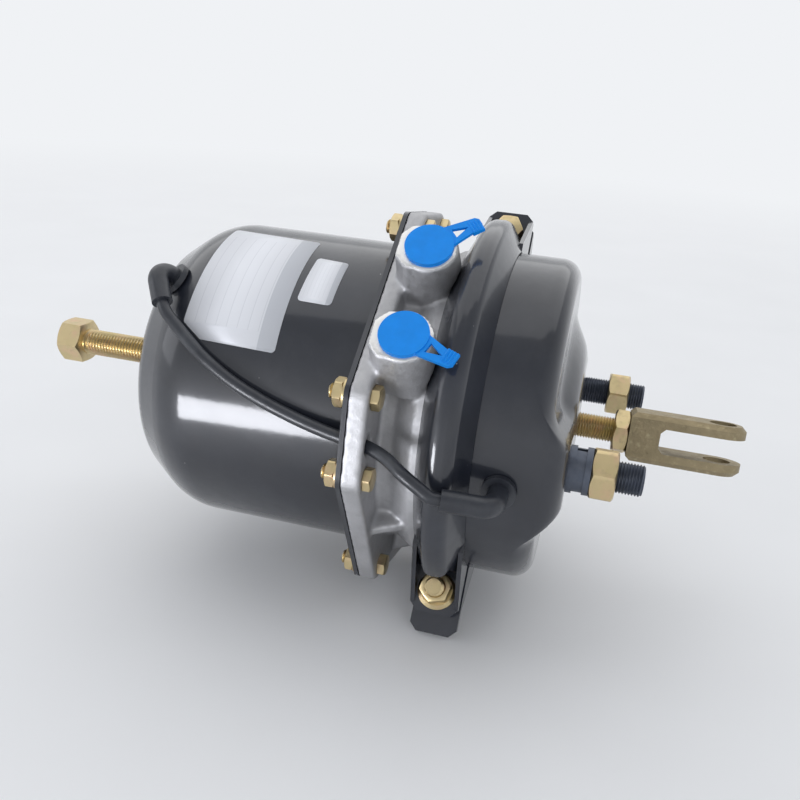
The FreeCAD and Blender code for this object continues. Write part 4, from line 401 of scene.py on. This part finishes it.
def new_piece(name, mesh, material, body, node=None, smooth=35):
    """Makes an object of a bmesh, dressed and riding on its body, in place of a node where given."""
    data = bpy.data.meshes.new(name)
    bmesh.ops.recalc_face_normals(mesh, faces=mesh.faces[:])
    mesh.to_mesh(data)
    mesh.free()
    data.polygons.foreach_set("use_smooth", [True] * len(data.polygons))
    data.set_sharp_from_angle(angle=math.radians(smooth))
    data.materials.append(material)
    piece = bpy.data.objects.new(name, data)
    bpy.context.scene.collection.objects.link(piece)
    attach(piece, body)
    if node:
        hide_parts(*([node] if isinstance(node, str) else node))
    return piece


def add_rings(mesh, rings, count, matrix=None, bored=False):
    """Joins rings round the X axis; each gives its station and radius, or a function of the angle."""
    matrix = matrix or Matrix.Identity(4)
    loops = []
    for ring in rings:
        loop = []
        for step in range(count):
            angle = 2 * math.pi * step / count
            station, radius = ring(angle) if callable(ring) else ring
            point = Vector((station, -radius * math.cos(angle), radius * math.sin(angle)))
            loop.append(mesh.verts.new(matrix @ point))
        loops.append(loop)
    pairs = list(zip(loops, loops[1:]))
    if bored:
        pairs.append((loops[-1], loops[0]))
    for first, second in pairs:
        for step in range(count):
            following = (step + 1) % count
            mesh.faces.new((first[step], first[following], second[following], second[step]))
    return loops


def close_ends(mesh, loops):
    """Caps the first and last loop of a form."""
    mesh.faces.new(loops[0][::-1])
    mesh.faces.new(loops[-1])


def thread_rings(start, end, radius, pitch):
    """Rings of a metric thread, wound left-handed, with lead chamfers at both ends."""
    depth = THREAD_DEPTH * pitch
    samples = 6
    steps = max(int(abs(end - start) / pitch * samples), 2)

    def ring_at(station):
        def ring(angle):
            phase = (station / pitch - angle / (2 * math.pi)) % 1
            tooth = 1 - abs(2 * phase - 1)
            rise = min(max(tooth * (1 + 2 * THREAD_FLAT) - THREAD_FLAT, 0), 1)
            lead = min(abs(end - station), abs(station - start))
            return station, min(radius - depth * (1 - rise), radius - depth * 1.1 + lead)
        return ring

    return [ring_at(start + (end - start) * index / steps) for index in range(steps + 1)]


def hexagon(flat, angle, spin=0):
    """Distance from the axis to a hexagon's side at an angle."""
    sector = math.radians(60)
    return flat / math.cos((angle + spin) % sector - sector / 2)


def across_flats(reach):
    """A hexagon's width across its flats, from how far its corners reach."""
    return 2 * reach * math.cos(math.radians(30))


def hex_rings(start, end, across, spin=0, bore=None, washer_face=False):
    """Rings of a hexagon with turned corners on both ends, from start to end along X."""
    flat = across / 2
    turned = flat * HEX_TURNED
    slope = math.tan(math.radians(30))
    way = 1 if end > start else -1

    def low(angle):
        side = hexagon(flat, angle, spin)
        return start + way * (0 if washer_face else (side - turned) * slope), side

    def high(angle):
        side = hexagon(flat, angle, spin)
        return end - way * (side - turned) * slope, side

    rings = [low, high, (end, turned)]
    if not washer_face:
        rings.insert(0, (start, turned))
    if bore:
        sink = bore * 1.09
        rings = [(start, sink)] + rings + [(end, sink), (end - way * (sink - bore), bore),
                                           (start + way * (sink - bore), bore)]
    return rings


def polar(station, radius, angle):
    """A point at a station on the axis, a radius and an angle from the near side upwards."""
    return Vector((station, -radius * math.cos(angle), radius * math.sin(angle)))


def smooth_max(a, b, blend):
    """The larger of two heights, with a soft blend where they meet."""
    near = max(blend - abs(a - b), 0) / blend
    return max(a, b) + near * near * blend / 4


def smooth_min(a, b, blend):
    """The smaller of two heights, with a soft blend where they meet."""
    return -smooth_max(-a, -b, blend)


def bevelled(piece, width, angle=32, segments=2):
    """Rounds a piece's sharp edges."""
    modifier = piece.modifiers.new("broken_edges", "BEVEL")
    modifier.width = width
    modifier.segments = segments
    modifier.limit_method = "ANGLE"
    modifier.angle_limit = math.radians(angle)


# Front housing

def pressed_height(sizes, radius, angle):
    """Station of the pressed bowl's outside: raised middle, raised bar, front ring and knees."""
    def knee(start, rounding):
        over = radius - (sizes.bowl_radius - rounding)
        if over <= 0:
            return start
        return start - rounding + math.sqrt(max(rounding ** 2 - over ** 2, 0))

    height = abs(radius * math.sin(angle))
    low = knee(-sizes.bowl_step, sizes.bowl_knee)
    high = knee(0, sizes.bar_knee)
    bar = -max(height - sizes.bar_half, -sizes.press_blend) * sizes.bowl_step / sizes.bar_flare
    raised = smooth_min(high, bar, sizes.press_blend / 2)
    middle = -(radius - sizes.plateau_radius) * sizes.bowl_step / sizes.plateau_flare
    middle = smooth_min(0, middle, sizes.press_blend)
    return smooth_max(low, smooth_max(raised, middle, sizes.press_blend / 2), sizes.press_blend)


def build_front_housing(sizes, enamel):
    """The pressed bowl as one sheet, from the push rod guide out over the ring to the clamped rim."""
    mesh = bmesh.new()
    edge = sizes.bowl_radius - sizes.bar_knee
    steps = 34
    turns = 16
    radii = [sizes.guide_radius + (edge - sizes.guide_radius) * index / steps for index in range(steps)]
    radii += [edge + sizes.bar_knee * math.sin(math.pi / 2 * index / turns) for index in range(turns + 1)]
    rings = [lambda angle, radius=radius: (pressed_height(sizes, radius, angle), radius)
             for radius in radii]
    rings += [(-sizes.bowl_step * 2.2, sizes.bowl_radius), (sizes.rim_foot, sizes.bowl_radius),
              (sizes.rim_front, sizes.rim_radius), (sizes.rim_rear, sizes.rim_radius)]
    add_rings(mesh, rings, count=240)
    piece = new_piece("front_housing_pressing", mesh, enamel, "chamber",
                      "front_housing", smooth=50)
    wall = piece.modifiers.new("sheet", "SOLIDIFY")
    wall.thickness = sizes.bowl_wall
    wall.offset = -1


# Loose solids of a node, and where each lies

def loose_parts(node):
    """The points of each separate solid in a node."""
    mesh = bmesh.new()
    mesh.from_mesh(frame["nodes"][node].data)
    bmesh.ops.remove_doubles(mesh, verts=mesh.verts[:], dist=0.01 * MM)
    waiting = set(mesh.verts)
    parts = []
    while waiting:
        front = [waiting.pop()]
        points = []
        while front:
            vertex = front.pop()
            points.append(vertex.co.copy())
            near = [edge.other_vert(vertex) for edge in vertex.link_edges]
            fresh = [other for other in near if other in waiting]
            waiting.difference_update(fresh)
            front.extend(fresh)
        parts.append(points)
    mesh.free()
    return sorted(parts, key=lambda points: tuple(points_middle(points)))


def points_middle(points):
    """The middle of the box round some points."""
    low = [min(point[axis] for point in points) for axis in range(3)]
    high = [max(point[axis] for point in points) for axis in range(3)]
    return (Vector(low) + Vector(high)) / 2


def lie(points, axis):
    """How a hexagonal solid lies on an axis: its matrix, length, reach and the turn of a corner."""
    turn = Vector(axis).to_track_quat("X", "Z").to_matrix()
    local = [turn.transposed() @ point for point in points]
    start = min(point.x for point in local)
    middle = points_middle(local)
    corner = max(local, key=lambda point: math.hypot(point.y - middle.y, point.z - middle.z))
    aside = corner - middle
    matrix = Matrix.Translation(turn @ Vector((start, middle.y, middle.z))) @ turn.to_4x4()
    reach = math.hypot(aside.y, aside.z)
    return matrix, max(point.x for point in local) - start, reach, -math.atan2(aside.z, -aside.y)


def clamp_axis(points):
    """The direction along a clamp bolt, square to the axis and to its own radius."""
    middle = points_middle(points)
    return Vector((1, 0, 0)).cross(Vector((0, middle.y, middle.z)).normalized())


# Nuts, bolts and threads

def build_nuts(name, node, bore, material, body="chamber"):
    """Hexagon nuts with turned corners and countersunk bores."""
    mesh = bmesh.new()
    for points in loose_parts(node):
        matrix, run, reach, spin = lie(points, (1, 0, 0))
        rings = hex_rings(0, run, across_flats(reach), spin, bore)
        add_rings(mesh, rings, HEX_COUNT, matrix, bored=True)
    new_piece(name, mesh, material, body, node)


def build_flange_bolts(sizes, material):
    """Hexagon bolts through the flanges, with their threads showing beyond the nuts."""
    mesh = bmesh.new()
    nut_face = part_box("flange_nuts")[1][0]
    for points in loose_parts("flange_bolts"):
        matrix, run, reach, spin = lie(points, (1, 0, 0))
        under = run - sizes.flange_head
        radius = sizes.flange_bolt_radius
        thread = nut_face - matrix.translation.x
        rings = [(under, radius * SHANK), (thread + STEP_UP, radius * SHANK)]
        rings += thread_rings(thread, 0, radius, sizes.bolt_pitch)
        close_ends(mesh, add_rings(mesh, rings, count=36, matrix=matrix))
        rings = hex_rings(under, run, across_flats(reach), spin, washer_face=True)
        close_ends(mesh, add_rings(mesh, rings, HEX_COUNT, matrix))
    new_piece("flange_bolts_threaded", mesh, material, "chamber", "flange_bolts")


def lie_wide_end_first(points, share):
    """How a clamp fastener lies from its widest end, which is sought in this share of its length."""
    for axis in (clamp_axis(points), -clamp_axis(points)):
        matrix, run, reach, spin = lie(points, axis)
        local = [matrix.inverted() @ point for point in points]
        if max(math.hypot(point.y, point.z) for point in local if point.x < run * share) > reach * 0.99:
            break
    return matrix, run, reach, spin


def build_clamp_nuts(sizes, material):
    """Flanged nuts on the clamp bolts."""
    mesh = bmesh.new()
    for points in loose_parts("clamp_nuts"):
        matrix, run = lie_wide_end_first(points, 1 / 2)[:2]
        flange = sizes.clamp_flange
        chamfer = 0.5 * MM
        lip = flange * 0.16
        cone = flange * 0.30
        bore = sizes.clamp_bolt_radius
        rings = [(0, flange - chamfer), (chamfer, flange), (lip, flange),
                 (cone, sizes.clamp_nut_across / 2 * 1.16)]
        rings += hex_rings(cone, run, sizes.clamp_nut_across, spin=0.3, washer_face=True)
        rings += [(run, bore * 1.1), (run - bore * 0.1, bore), (0, bore)]
        add_rings(mesh, rings, HEX_COUNT, matrix, bored=True)
    new_piece("clamp_nuts_flanged", mesh, material, "chamber", "clamp_nuts")


def build_clamp_bolts(sizes, material):
    """Clamp bolts with hexagon heads and threads that show beyond the flanged nuts."""
    mesh = bmesh.new()
    for points in loose_parts("clamp_bolts"):
        matrix, run, reach, spin = lie_wide_end_first(points, 1 / 4)
        radius = sizes.clamp_bolt_radius - 0.06 * MM
        head = sizes.clamp_head
        rings = hex_rings(head, 0, across_flats(reach), spin, washer_face=True)
        close_ends(mesh, add_rings(mesh, rings, HEX_COUNT, matrix))
        rings = [(head, radius * SHANK), (run / 2, radius * SHANK)]
        rings += thread_rings(run / 2 + STEP_UP, run, radius, sizes.clamp_pitch)
        close_ends(mesh, add_rings(mesh, rings, count=40, matrix=matrix))
    new_piece("clamp_bolts_threaded", mesh, material, "chamber", "clamp_bolts")


def build_push_rod(sizes, zinc):
    """The push rod: plain inside the housing, threaded where the jam nut and clevis sit."""
    low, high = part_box("push_rod")
    mesh = bmesh.new()
    rings = [(low[0], sizes.rod_radius), (sizes.rod_thread_start - sizes.rod_pitch, sizes.rod_radius)]
    rings += thread_rings(sizes.rod_thread_start, high[0], sizes.rod_radius, sizes.rod_pitch)
    close_ends(mesh, add_rings(mesh, rings, count=48))
    new_piece("push_rod_threaded", mesh, zinc, "rod", "push_rod")


def build_studs(sizes, steel):
    """Both mounting studs, with round heads inside the housing and threads outside."""
    low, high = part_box("mounting_studs")
    radius = sizes.stud_radius
    head = sizes.stud_head
    apart = (high[1] - low[1]) / 2 - head
    top = low[0] + sizes.stud_head_height
    mesh = bmesh.new()
    for side in (-1, 1):
        matrix = Matrix.Translation((0, side * apart, 0))
        rings = [(low[0], head * 0.95), (low[0] + head * 0.05, head), (top, head), (top, radius),
                 (0, radius)]
        rings += thread_rings(0.4 * sizes.rod_pitch, high[0], radius, sizes.rod_pitch)
        close_ends(mesh, add_rings(mesh, rings, count=48, matrix=matrix))
    new_piece("mounting_studs_threaded", mesh, steel, "chamber", "mounting_studs")


def build_release_bolt(sizes, zinc):
    """The release bolt: a hexagon head and a thread of the pitch that its joints have."""
    low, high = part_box("release_bolt")
    radius = sizes.release_radius
    pitch = thread_pitch("release_bolt_turn", "release_bolt_travel")
    under = low[0] + sizes.release_head
    mesh = bmesh.new()
    close_ends(mesh, add_rings(mesh, hex_rings(under, low[0], sizes.release_across), HEX_COUNT))
    rings = [(under - radius / 8, radius), (under + radius / 8, radius)]
    rings += thread_rings(under + pitch, high[0], radius, pitch)
    close_ends(mesh, add_rings(mesh, rings, count=60))
    new_piece("release_bolt_threaded", mesh, zinc, "bolt", "release_bolt")


# Grips on the port caps

def build_grip(name, node, body, sizes, plastic):
    """A ribbed grip on the tip of a port cap's pull tab, laid along the tab."""
    foot_slice = 2 * MM
    tip_slice = 1 * MM
    ribs = 4
    samples = 8 * ribs
    taper = 0.35
    axis = polar(0, 1, sizes.port_angle)
    points = [vertex.co.copy() for vertex in frame["nodes"][node].data.vertices]
    foot = min(point.dot(axis) for point in points)
    centre = points_middle([point for point in points if point.dot(axis) < foot + foot_slice])
    aside = [point - centre - axis * (point - centre).dot(axis) for point in points]
    way = max(aside, key=lambda point: point.length).normalized()
    reach = max(point.dot(way) for point in aside)
    tip = [point.dot(axis) for point, out in zip(points, aside) if out.dot(way) > reach - tip_slice]
    middle = (min(tip) + max(tip)) / 2 - centre.dot(axis)
    half = sizes.grip_height / 2
    profile = [(0, -half)]
    for step in range(samples + 1):
        share = step / samples
        groove = 0.5 + 0.5 * math.cos(2 * math.pi * ribs * share)
        profile.append((share, half * (1 - taper * share) - sizes.grip_rib * groove))
    profile.append((1, -half * (1 - taper)))
    across = axis.cross(way)
    start = centre + way * (reach - sizes.grip_run) + axis * middle
    mesh = bmesh.new()
    sides = []
    for side in (-1, 1):
        sides.append([mesh.verts.new(start + way * (run * sizes.grip_run) + axis * height
                                     + across * (side * sizes.grip_half)) for run, height in profile])
    for index in range(len(profile)):
        following = (index + 1) % len(profile)
        mesh.faces.new((sides[0][index], sides[0][following], sides[1][following], sides[1][index]))
    close_ends(mesh, sides)
    piece = new_piece(name, mesh, plastic, body)
    bevelled(piece, sizes.cap_edge, angle=60)


# Labels

def rounded_outline(corners, radius, steps=5):
    """Corner points of a flat outline with each corner rounded."""
    outline = []
    count = len(corners)
    for index in range(count):
        corner = Vector(corners[index])
        before = (Vector(corners[index - 1]) - corner).normalized()
        after = (Vector(corners[(index + 1) % count]) - corner).normalized()
        opening = before.angle(after)
        run = radius / math.tan(opening / 2)
        centre = corner + (before + after).normalized() * (radius / math.sin(opening / 2))
        start = corner + before * run - centre
        end = corner + after * run - centre
        for step in range(steps + 1):
            share = step / steps
            outline.append(centre + (start * (1 - share) + end * share).normalized() * radius)
    return outline


def build_label(name, corners, sizes, foil):
    """A foil label bent round the spring housing; corners are station and angle."""
    radius = sizes.label_radius
    flat = [(station * MM, radius * math.radians(angle)) for station, angle in corners]
    outline = rounded_outline(flat, sizes.label_corner)
    mesh = bmesh.new()
    mesh.faces.new([mesh.verts.new((x, v, 0)) for x, v in outline])
    low = [min(point[axis] for point in outline) for axis in (0, 1)]
    high = [max(point[axis] for point in outline) for axis in (0, 1)]
    cuts = 40
    for index in range(1, cuts):
        across = low[1] + (high[1] - low[1]) * index / cuts
        geometry = mesh.verts[:] + mesh.edges[:] + mesh.faces[:]
        bmesh.ops.bisect_plane(mesh, geom=geometry, plane_co=(0, across, 0), plane_no=(0, 1, 0))
    sheet = mesh.loops.layers.uv.new("sheet")
    for face in mesh.faces:
        for loop in face.loops:
            loop[sheet].uv = [(loop.vert.co[axis] - low[axis]) / (high[axis] - low[axis])
                              for axis in (0, 1)]
    for vertex in mesh.verts:
        vertex.co = polar(vertex.co.x, radius, vertex.co.y / radius)
    piece = new_piece(name, mesh, foil, "chamber")
    wall = piece.modifiers.new("foil", "SOLIDIFY")
    wall.thickness = sizes.label_sheet
    wall.offset = 1


# Corners of the labels: stations in millimetres and angles in degrees
LARGE_LABEL = [(-201.7, 83), (-150.8, 81), (-151.2, 28), (-192.3, 28.7), (-203.4, 34)]
SMALL_LABEL = [(-146.2, 69.5), (-128.4, 68.5), (-129, 47.8), (-147.4, 48.1)]


# Operators

class ChamberStep:
    """What every step has: it can be undone, and it needs a scene."""
    bl_options = {"REGISTER", "UNDO"}

    @classmethod
    def poll(cls, context):
        return context.scene is not None


def finishes(context):
    """Blender's materials, with those of this object made on the first call."""
    colours = context.scene.chamber_colours
    sizes = context.scene.chamber_sizes
    kept = bpy.data.materials
    if "black_stoving_enamel" not in kept:
        black_enamel(colours)
        cast_aluminium(colours, polar(0, 1, sizes.port_angle), sizes.port_height)
        yellow_zinc("yellow_zinc_plating", colours, rough=0.36, tint=0.5, worn=0.35)
        yellow_zinc("worn_yellow_zinc", colours, rough=0.42, tint=0.7, worn=0.7)
        forged_zinc(colours)
        phosphated_steel(colours)
        moulded_rubber(colours)
        blue_polyethylene(colours)
        label_foil(colours)
        inner_steel("oil_tempered_spring_steel", colours.spring_steel, rough=0.36)
        inner_steel("ground_plunger_steel", colours.plunger_steel, rough=0.22)
        bearing_plastic(colours)
    return kept


# The finish of each material slot, and the nodes that get broken edges with the size of those
SLOT_FINISH = {
    "black_paint": "black_stoving_enamel",
    "cast_aluminium": "die_cast_aluminium",
    "yellow_zinc": "yellow_zinc_plating",
    "black_steel": "black_phosphated_steel",
    "spring_steel": "oil_tempered_spring_steel",
    "plunger_steel": "ground_plunger_steel",
    "black_rubber": "black_moulded_rubber",
    "bearing_plastic": "turned_acetal",
    "blue_plastic": "blue_moulded_polyethylene",
}
EDGED_NODES = {"clamp_half_upper": "band_edge", "clamp_half_lower": "band_edge",
               "clevis": "band_edge", "stud_washers": "edge", "stud_lock_washer": "edge",
               "flange_washers": "edge", "upper_port_cap": "cap_edge", "lower_port_cap": "cap_edge"}


class CHAMBER_OT_finishes(ChamberStep, bpy.types.Operator):
    """Give every carried-over node its finish and its broken edges"""
    bl_idname = "chamber.finishes"
    bl_label = "Finishes"

    def execute(self, context):
        sizes = context.scene.chamber_sizes
        kept = finishes(context)
        for row in frame["record"]["subparts"]:
            node = frame["nodes"][row["node"]]
            node.data.materials.clear()
            node.data.materials.append(kept[SLOT_FINISH[row["material_slot"]]])
        frame["nodes"]["clevis"].data.materials[0] = kept["zinc_plated_forging"]
        for name, width in EDGED_NODES.items():
            bevelled(frame["nodes"][name], getattr(sizes, width))
        casting = frame["nodes"]["middle_body"]
        skin = casting.modifiers.new("cast_fillets", "REMESH")
        skin.mode = "VOXEL"
        skin.voxel_size = sizes.cast_grain
        skin.use_smooth_shade = True
        soft = casting.modifiers.new("cast_softness", "SMOOTH")
        soft.factor = 0.5
        soft.iterations = 6
        return {"FINISHED"}


class CHAMBER_OT_front_housing(ChamberStep, bpy.types.Operator):
    """Press the front housing: bowl, raised middle and raised bar under the studs"""
    bl_idname = "chamber.front_housing"
    bl_label = "Front housing"

    def execute(self, context):
        build_front_housing(context.scene.chamber_sizes, finishes(context)["black_stoving_enamel"])
        return {"FINISHED"}


class CHAMBER_OT_rods(ChamberStep, bpy.types.Operator):
    """Cut the threads of the push rod, the mounting studs and the release bolt"""
    bl_idname = "chamber.rods"
    bl_label = "Threaded rods"

    def execute(self, context):
        sizes = context.scene.chamber_sizes
        kept = finishes(context)
        build_push_rod(sizes, kept["worn_yellow_zinc"])
        build_studs(sizes, kept["black_phosphated_steel"])
        build_release_bolt(sizes, kept["yellow_zinc_plating"])
        return {"FINISHED"}


class CHAMBER_OT_fasteners(ChamberStep, bpy.types.Operator):
    """Turn the nuts and bolts of the studs, the flanges and the clamp band"""
    bl_idname = "chamber.fasteners"
    bl_label = "Nuts and bolts"

    def execute(self, context):
        sizes = context.scene.chamber_sizes
        kept = finishes(context)
        zinc = kept["yellow_zinc_plating"]
        play = sizes.nut_play
        build_nuts("stud_nuts_hexagon", "stud_nuts", sizes.stud_radius + play, zinc)
        build_nuts("jam_nut_hexagon", "jam_nut", sizes.rod_radius + play, kept["worn_yellow_zinc"], "rod")
        build_nuts("flange_nuts_hexagon", "flange_nuts", sizes.flange_bolt_radius + play, zinc)
        build_flange_bolts(sizes, zinc)
        build_clamp_nuts(sizes, zinc)
        build_clamp_bolts(sizes, zinc)
        return {"FINISHED"}


class CHAMBER_OT_cap_grips(ChamberStep, bpy.types.Operator):
    """Mould the ribbed grips on the pull tabs of both port caps"""
    bl_idname = "chamber.cap_grips"
    bl_label = "Cap grips"

    def execute(self, context):
        sizes = context.scene.chamber_sizes
        plastic = finishes(context)["blue_moulded_polyethylene"]
        build_grip("upper_cap_grip", "upper_port_cap", "upper_cap", sizes, plastic)
        build_grip("lower_cap_grip", "lower_port_cap", "lower_cap", sizes, plastic)
        return {"FINISHED"}


class CHAMBER_OT_labels(ChamberStep, bpy.types.Operator):
    """Lay two blank foil labels on the spring housing"""
    bl_idname = "chamber.labels"
    bl_label = "Labels"

    def execute(self, context):
        sizes = context.scene.chamber_sizes
        foil = finishes(context)["printed_label_foil"]
        build_label("label_large", LARGE_LABEL, sizes, foil)
        build_label("label_small", SMALL_LABEL, sizes, foil)
        return {"FINISHED"}


# Stage

CAMERA_PLACE = (2.4, -456.5, 182.1)  # in millimetres
CAMERA_VIEW = (-0.208, 0.906, -0.369)
CAMERA_UP = (-0.165, 0.339, 0.926)
CAMERA_LENS = 38.6  # focal length in millimetres
FLOOR_RADIUS = 6
FLOOR_GAP = 0.3 * MM
CLEAR_FLOOR = (0.7, 2.4)  # where the floor starts and ends to melt into the backdrop, in metres
ROOM_LEVEL = (1.0, 0.5)  # the room's strength low down and overhead
ROOM_RISE = (0.08, 0.8)  # how steeply up it starts and ends to dim
# Each lamp's name, place, target, size in metres, power in watts, colour and the rays that miss it
LAMPS = [
    ("overhead", (-0.35, 0.85, 1.9), (0, 0, 0), (4.2, 3.4), 35, "#FFFFFF"),
    ("front_fill", (0.5, -1.5, 0.6), (0, -0.15, -0.1), (1.4, 1.0), 5, "#FAFCFF", ("glossy",)),
    ("side", (-1.5, -0.5, 0.55), (-0.1, 0, 0), (0.8, 0.8), 2.2, "#F6F8FF"),
    ("low_window", (-0.275, -0.335, -0.062), (-0.15, -0.08, 0), (0.17, 0.085), 0.8, "#F6F8FF",
     ("diffuse",)),
]


def build_floor(colours):
    """A pale round floor; far from the object the camera sees it melt into the backdrop."""
    mesh = bmesh.new()
    bmesh.ops.create_circle(mesh, cap_ends=True, segments=96, radius=FLOOR_RADIUS)
    data = bpy.data.meshes.new("floor")
    mesh.to_mesh(data)
    mesh.free()
    floor = bpy.data.objects.new("floor", data)
    bpy.context.scene.collection.objects.link(floor)
    floor.location.z = cad_box[0][2] - FLOOR_GAP
    # Matt paper: pale, with faint broad unevenness; the backdrop's own brightness takes over far away.
    tree, place = new_material("pale_paper_floor")
    tone = add_node(tree, "ShaderNodeMix", {6: shaded(colours.floor, 0.98), 7: colours.floor},
                    {0: patches(tree, place, 150, 0, 1, 2)}, data_type="RGBA").outputs[2]
    paper = add_node(tree, "ShaderNodeBsdfDiffuse", links={"Color": tone})
    glow = add_node(tree, "ShaderNodeEmission", {"Color": colours.backdrop})
    reach = add_node(tree, "ShaderNodeVectorMath", links={0: place}, operation="LENGTH")
    far = add_node(tree, "ShaderNodeMapRange",
                   {"From Min": CLEAR_FLOOR[0], "From Max": CLEAR_FLOOR[1]},
                   {"Value": reach.outputs["Value"]}, interpolation_type="SMOOTHSTEP")
    path = add_node(tree, "ShaderNodeLightPath").outputs
    mirrored = add_node(tree, "ShaderNodeMath", operation="MAXIMUM",
                        links={0: path["Is Glossy Ray"], 1: path["Is Transmission Ray"]})
    looked = add_node(tree, "ShaderNodeMath", operation="MAXIMUM",
                      links={0: path["Is Camera Ray"], 1: mirrored.outputs[0]})
    share = add_node(tree, "ShaderNodeMath", links={0: far.outputs[0], 1: looked.outputs[0]},
                     operation="MULTIPLY")
    blend = add_node(tree, "ShaderNodeMixShader",
                     links={0: share.outputs[0], 1: paper.outputs[0], 2: glow.outputs[0]})
    add_node(tree, "ShaderNodeOutputMaterial", links={"Surface": blend.outputs[0]})
    data.materials.append(bpy.data.materials["pale_paper_floor"])


def build_surroundings(colours, scene):
    """A plain pale room: white all round and a little dimmer overhead."""
    world = bpy.data.worlds.new("pale_room")
    scene.world = world
    world.use_nodes = True
    tree = world.node_tree
    tree.nodes.clear()
    way = add_node(tree, "ShaderNodeTexCoord").outputs["Generated"]
    rise = add_node(tree, "ShaderNodeSeparateXYZ", links={0: way}).outputs["Z"]
    level = add_node(tree, "ShaderNodeMapRange",
                     {"From Min": ROOM_RISE[0], "From Max": ROOM_RISE[1],
                      "To Min": ROOM_LEVEL[0], "To Max": ROOM_LEVEL[1]},
                     {"Value": rise}).outputs[0]
    room = add_node(tree, "ShaderNodeBackground", {"Color": colours.backdrop}, {"Strength": level})
    add_node(tree, "ShaderNodeOutputWorld", links={"Surface": room.outputs[0]})


def area_lamp(name, place, target, size, watts, tone, missed_by=()):
    """A soft lamp, unseen by the camera and by the kinds of ray in missed_by."""
    lamp = bpy.data.lights.new(name, "AREA")
    lamp.shape = "RECTANGLE"
    lamp.size, lamp.size_y = size
    lamp.energy = watts
    lamp.color = linear(tone)[:3]
    holder = bpy.data.objects.new(name, lamp)
    bpy.context.scene.collection.objects.link(holder)
    holder.location = place
    holder.rotation_euler = (Vector(target) - Vector(place)).to_track_quat("-Z", "Y").to_euler()
    for way in ("camera", *missed_by):
        setattr(holder, "visible_" + way, False)


def build_camera(scene):
    """The camera at the photograph's viewing angle."""
    camera = bpy.data.cameras.new("camera")
    camera.lens = CAMERA_LENS
    camera.sensor_width = 36
    camera.clip_start = 0.01
    holder = bpy.data.objects.new("camera", camera)
    scene.collection.objects.link(holder)
    back = -Vector(CAMERA_VIEW).normalized()
    right = Vector(CAMERA_UP).cross(back).normalized()
    turn = Matrix((right, back.cross(right), back)).transposed().to_4x4()
    holder.matrix_world = Matrix.Translation(Vector(CAMERA_PLACE) * MM) @ turn
    scene.camera = holder


class CHAMBER_OT_stage(ChamberStep, bpy.types.Operator):
    """Set the floor, the pale surroundings, the soft lamps and the camera"""
    bl_idname = "chamber.stage"
    bl_label = "Stage"

    def execute(self, context):
        scene = context.scene
        build_floor(scene.chamber_colours)
        build_surroundings(scene.chamber_colours, scene)
        for lamp in LAMPS:
            area_lamp(*lamp)
        build_camera(scene)
        scene.view_settings.view_transform = "Standard"
        return {"FINISHED"}


STEPS = [CHAMBER_OT_finishes, CHAMBER_OT_front_housing, CHAMBER_OT_rods, CHAMBER_OT_fasteners,
         CHAMBER_OT_cap_grips, CHAMBER_OT_labels, CHAMBER_OT_stage]


class CHAMBER_PT_pieces(bpy.types.Panel):
    """Lists the steps that build the chamber"""
    bl_idname = "CHAMBER_PT_pieces"
    bl_label = "Brake chamber"
    bl_space_type = "VIEW_3D"
    bl_region_type = "UI"
    bl_category = "Brake chamber"

    def draw(self, context):
        for step in STEPS:
            self.layout.operator(step.bl_idname)


CLASSES = [ChamberSizes, ChamberColours, *STEPS, CHAMBER_PT_pieces]


def register():
    """Makes the classes and the scene's sizes and colours known."""
    for kind in CLASSES:
        bpy.utils.register_class(kind)
    bpy.types.Scene.chamber_sizes = PointerProperty(type=ChamberSizes)
    bpy.types.Scene.chamber_colours = PointerProperty(type=ChamberColours)


def unregister():
    """Takes back what register made known."""
    del bpy.types.Scene.chamber_colours
    del bpy.types.Scene.chamber_sizes
    for kind in reversed(CLASSES):
        bpy.utils.unregister_class(kind)


def main():
    """Builds every piece and the stage."""
    register()
    for step in STEPS:
        family, name = step.bl_idname.split(".")
        getattr(getattr(bpy.ops, family), name)()


if __name__ == "__main__":
    main()
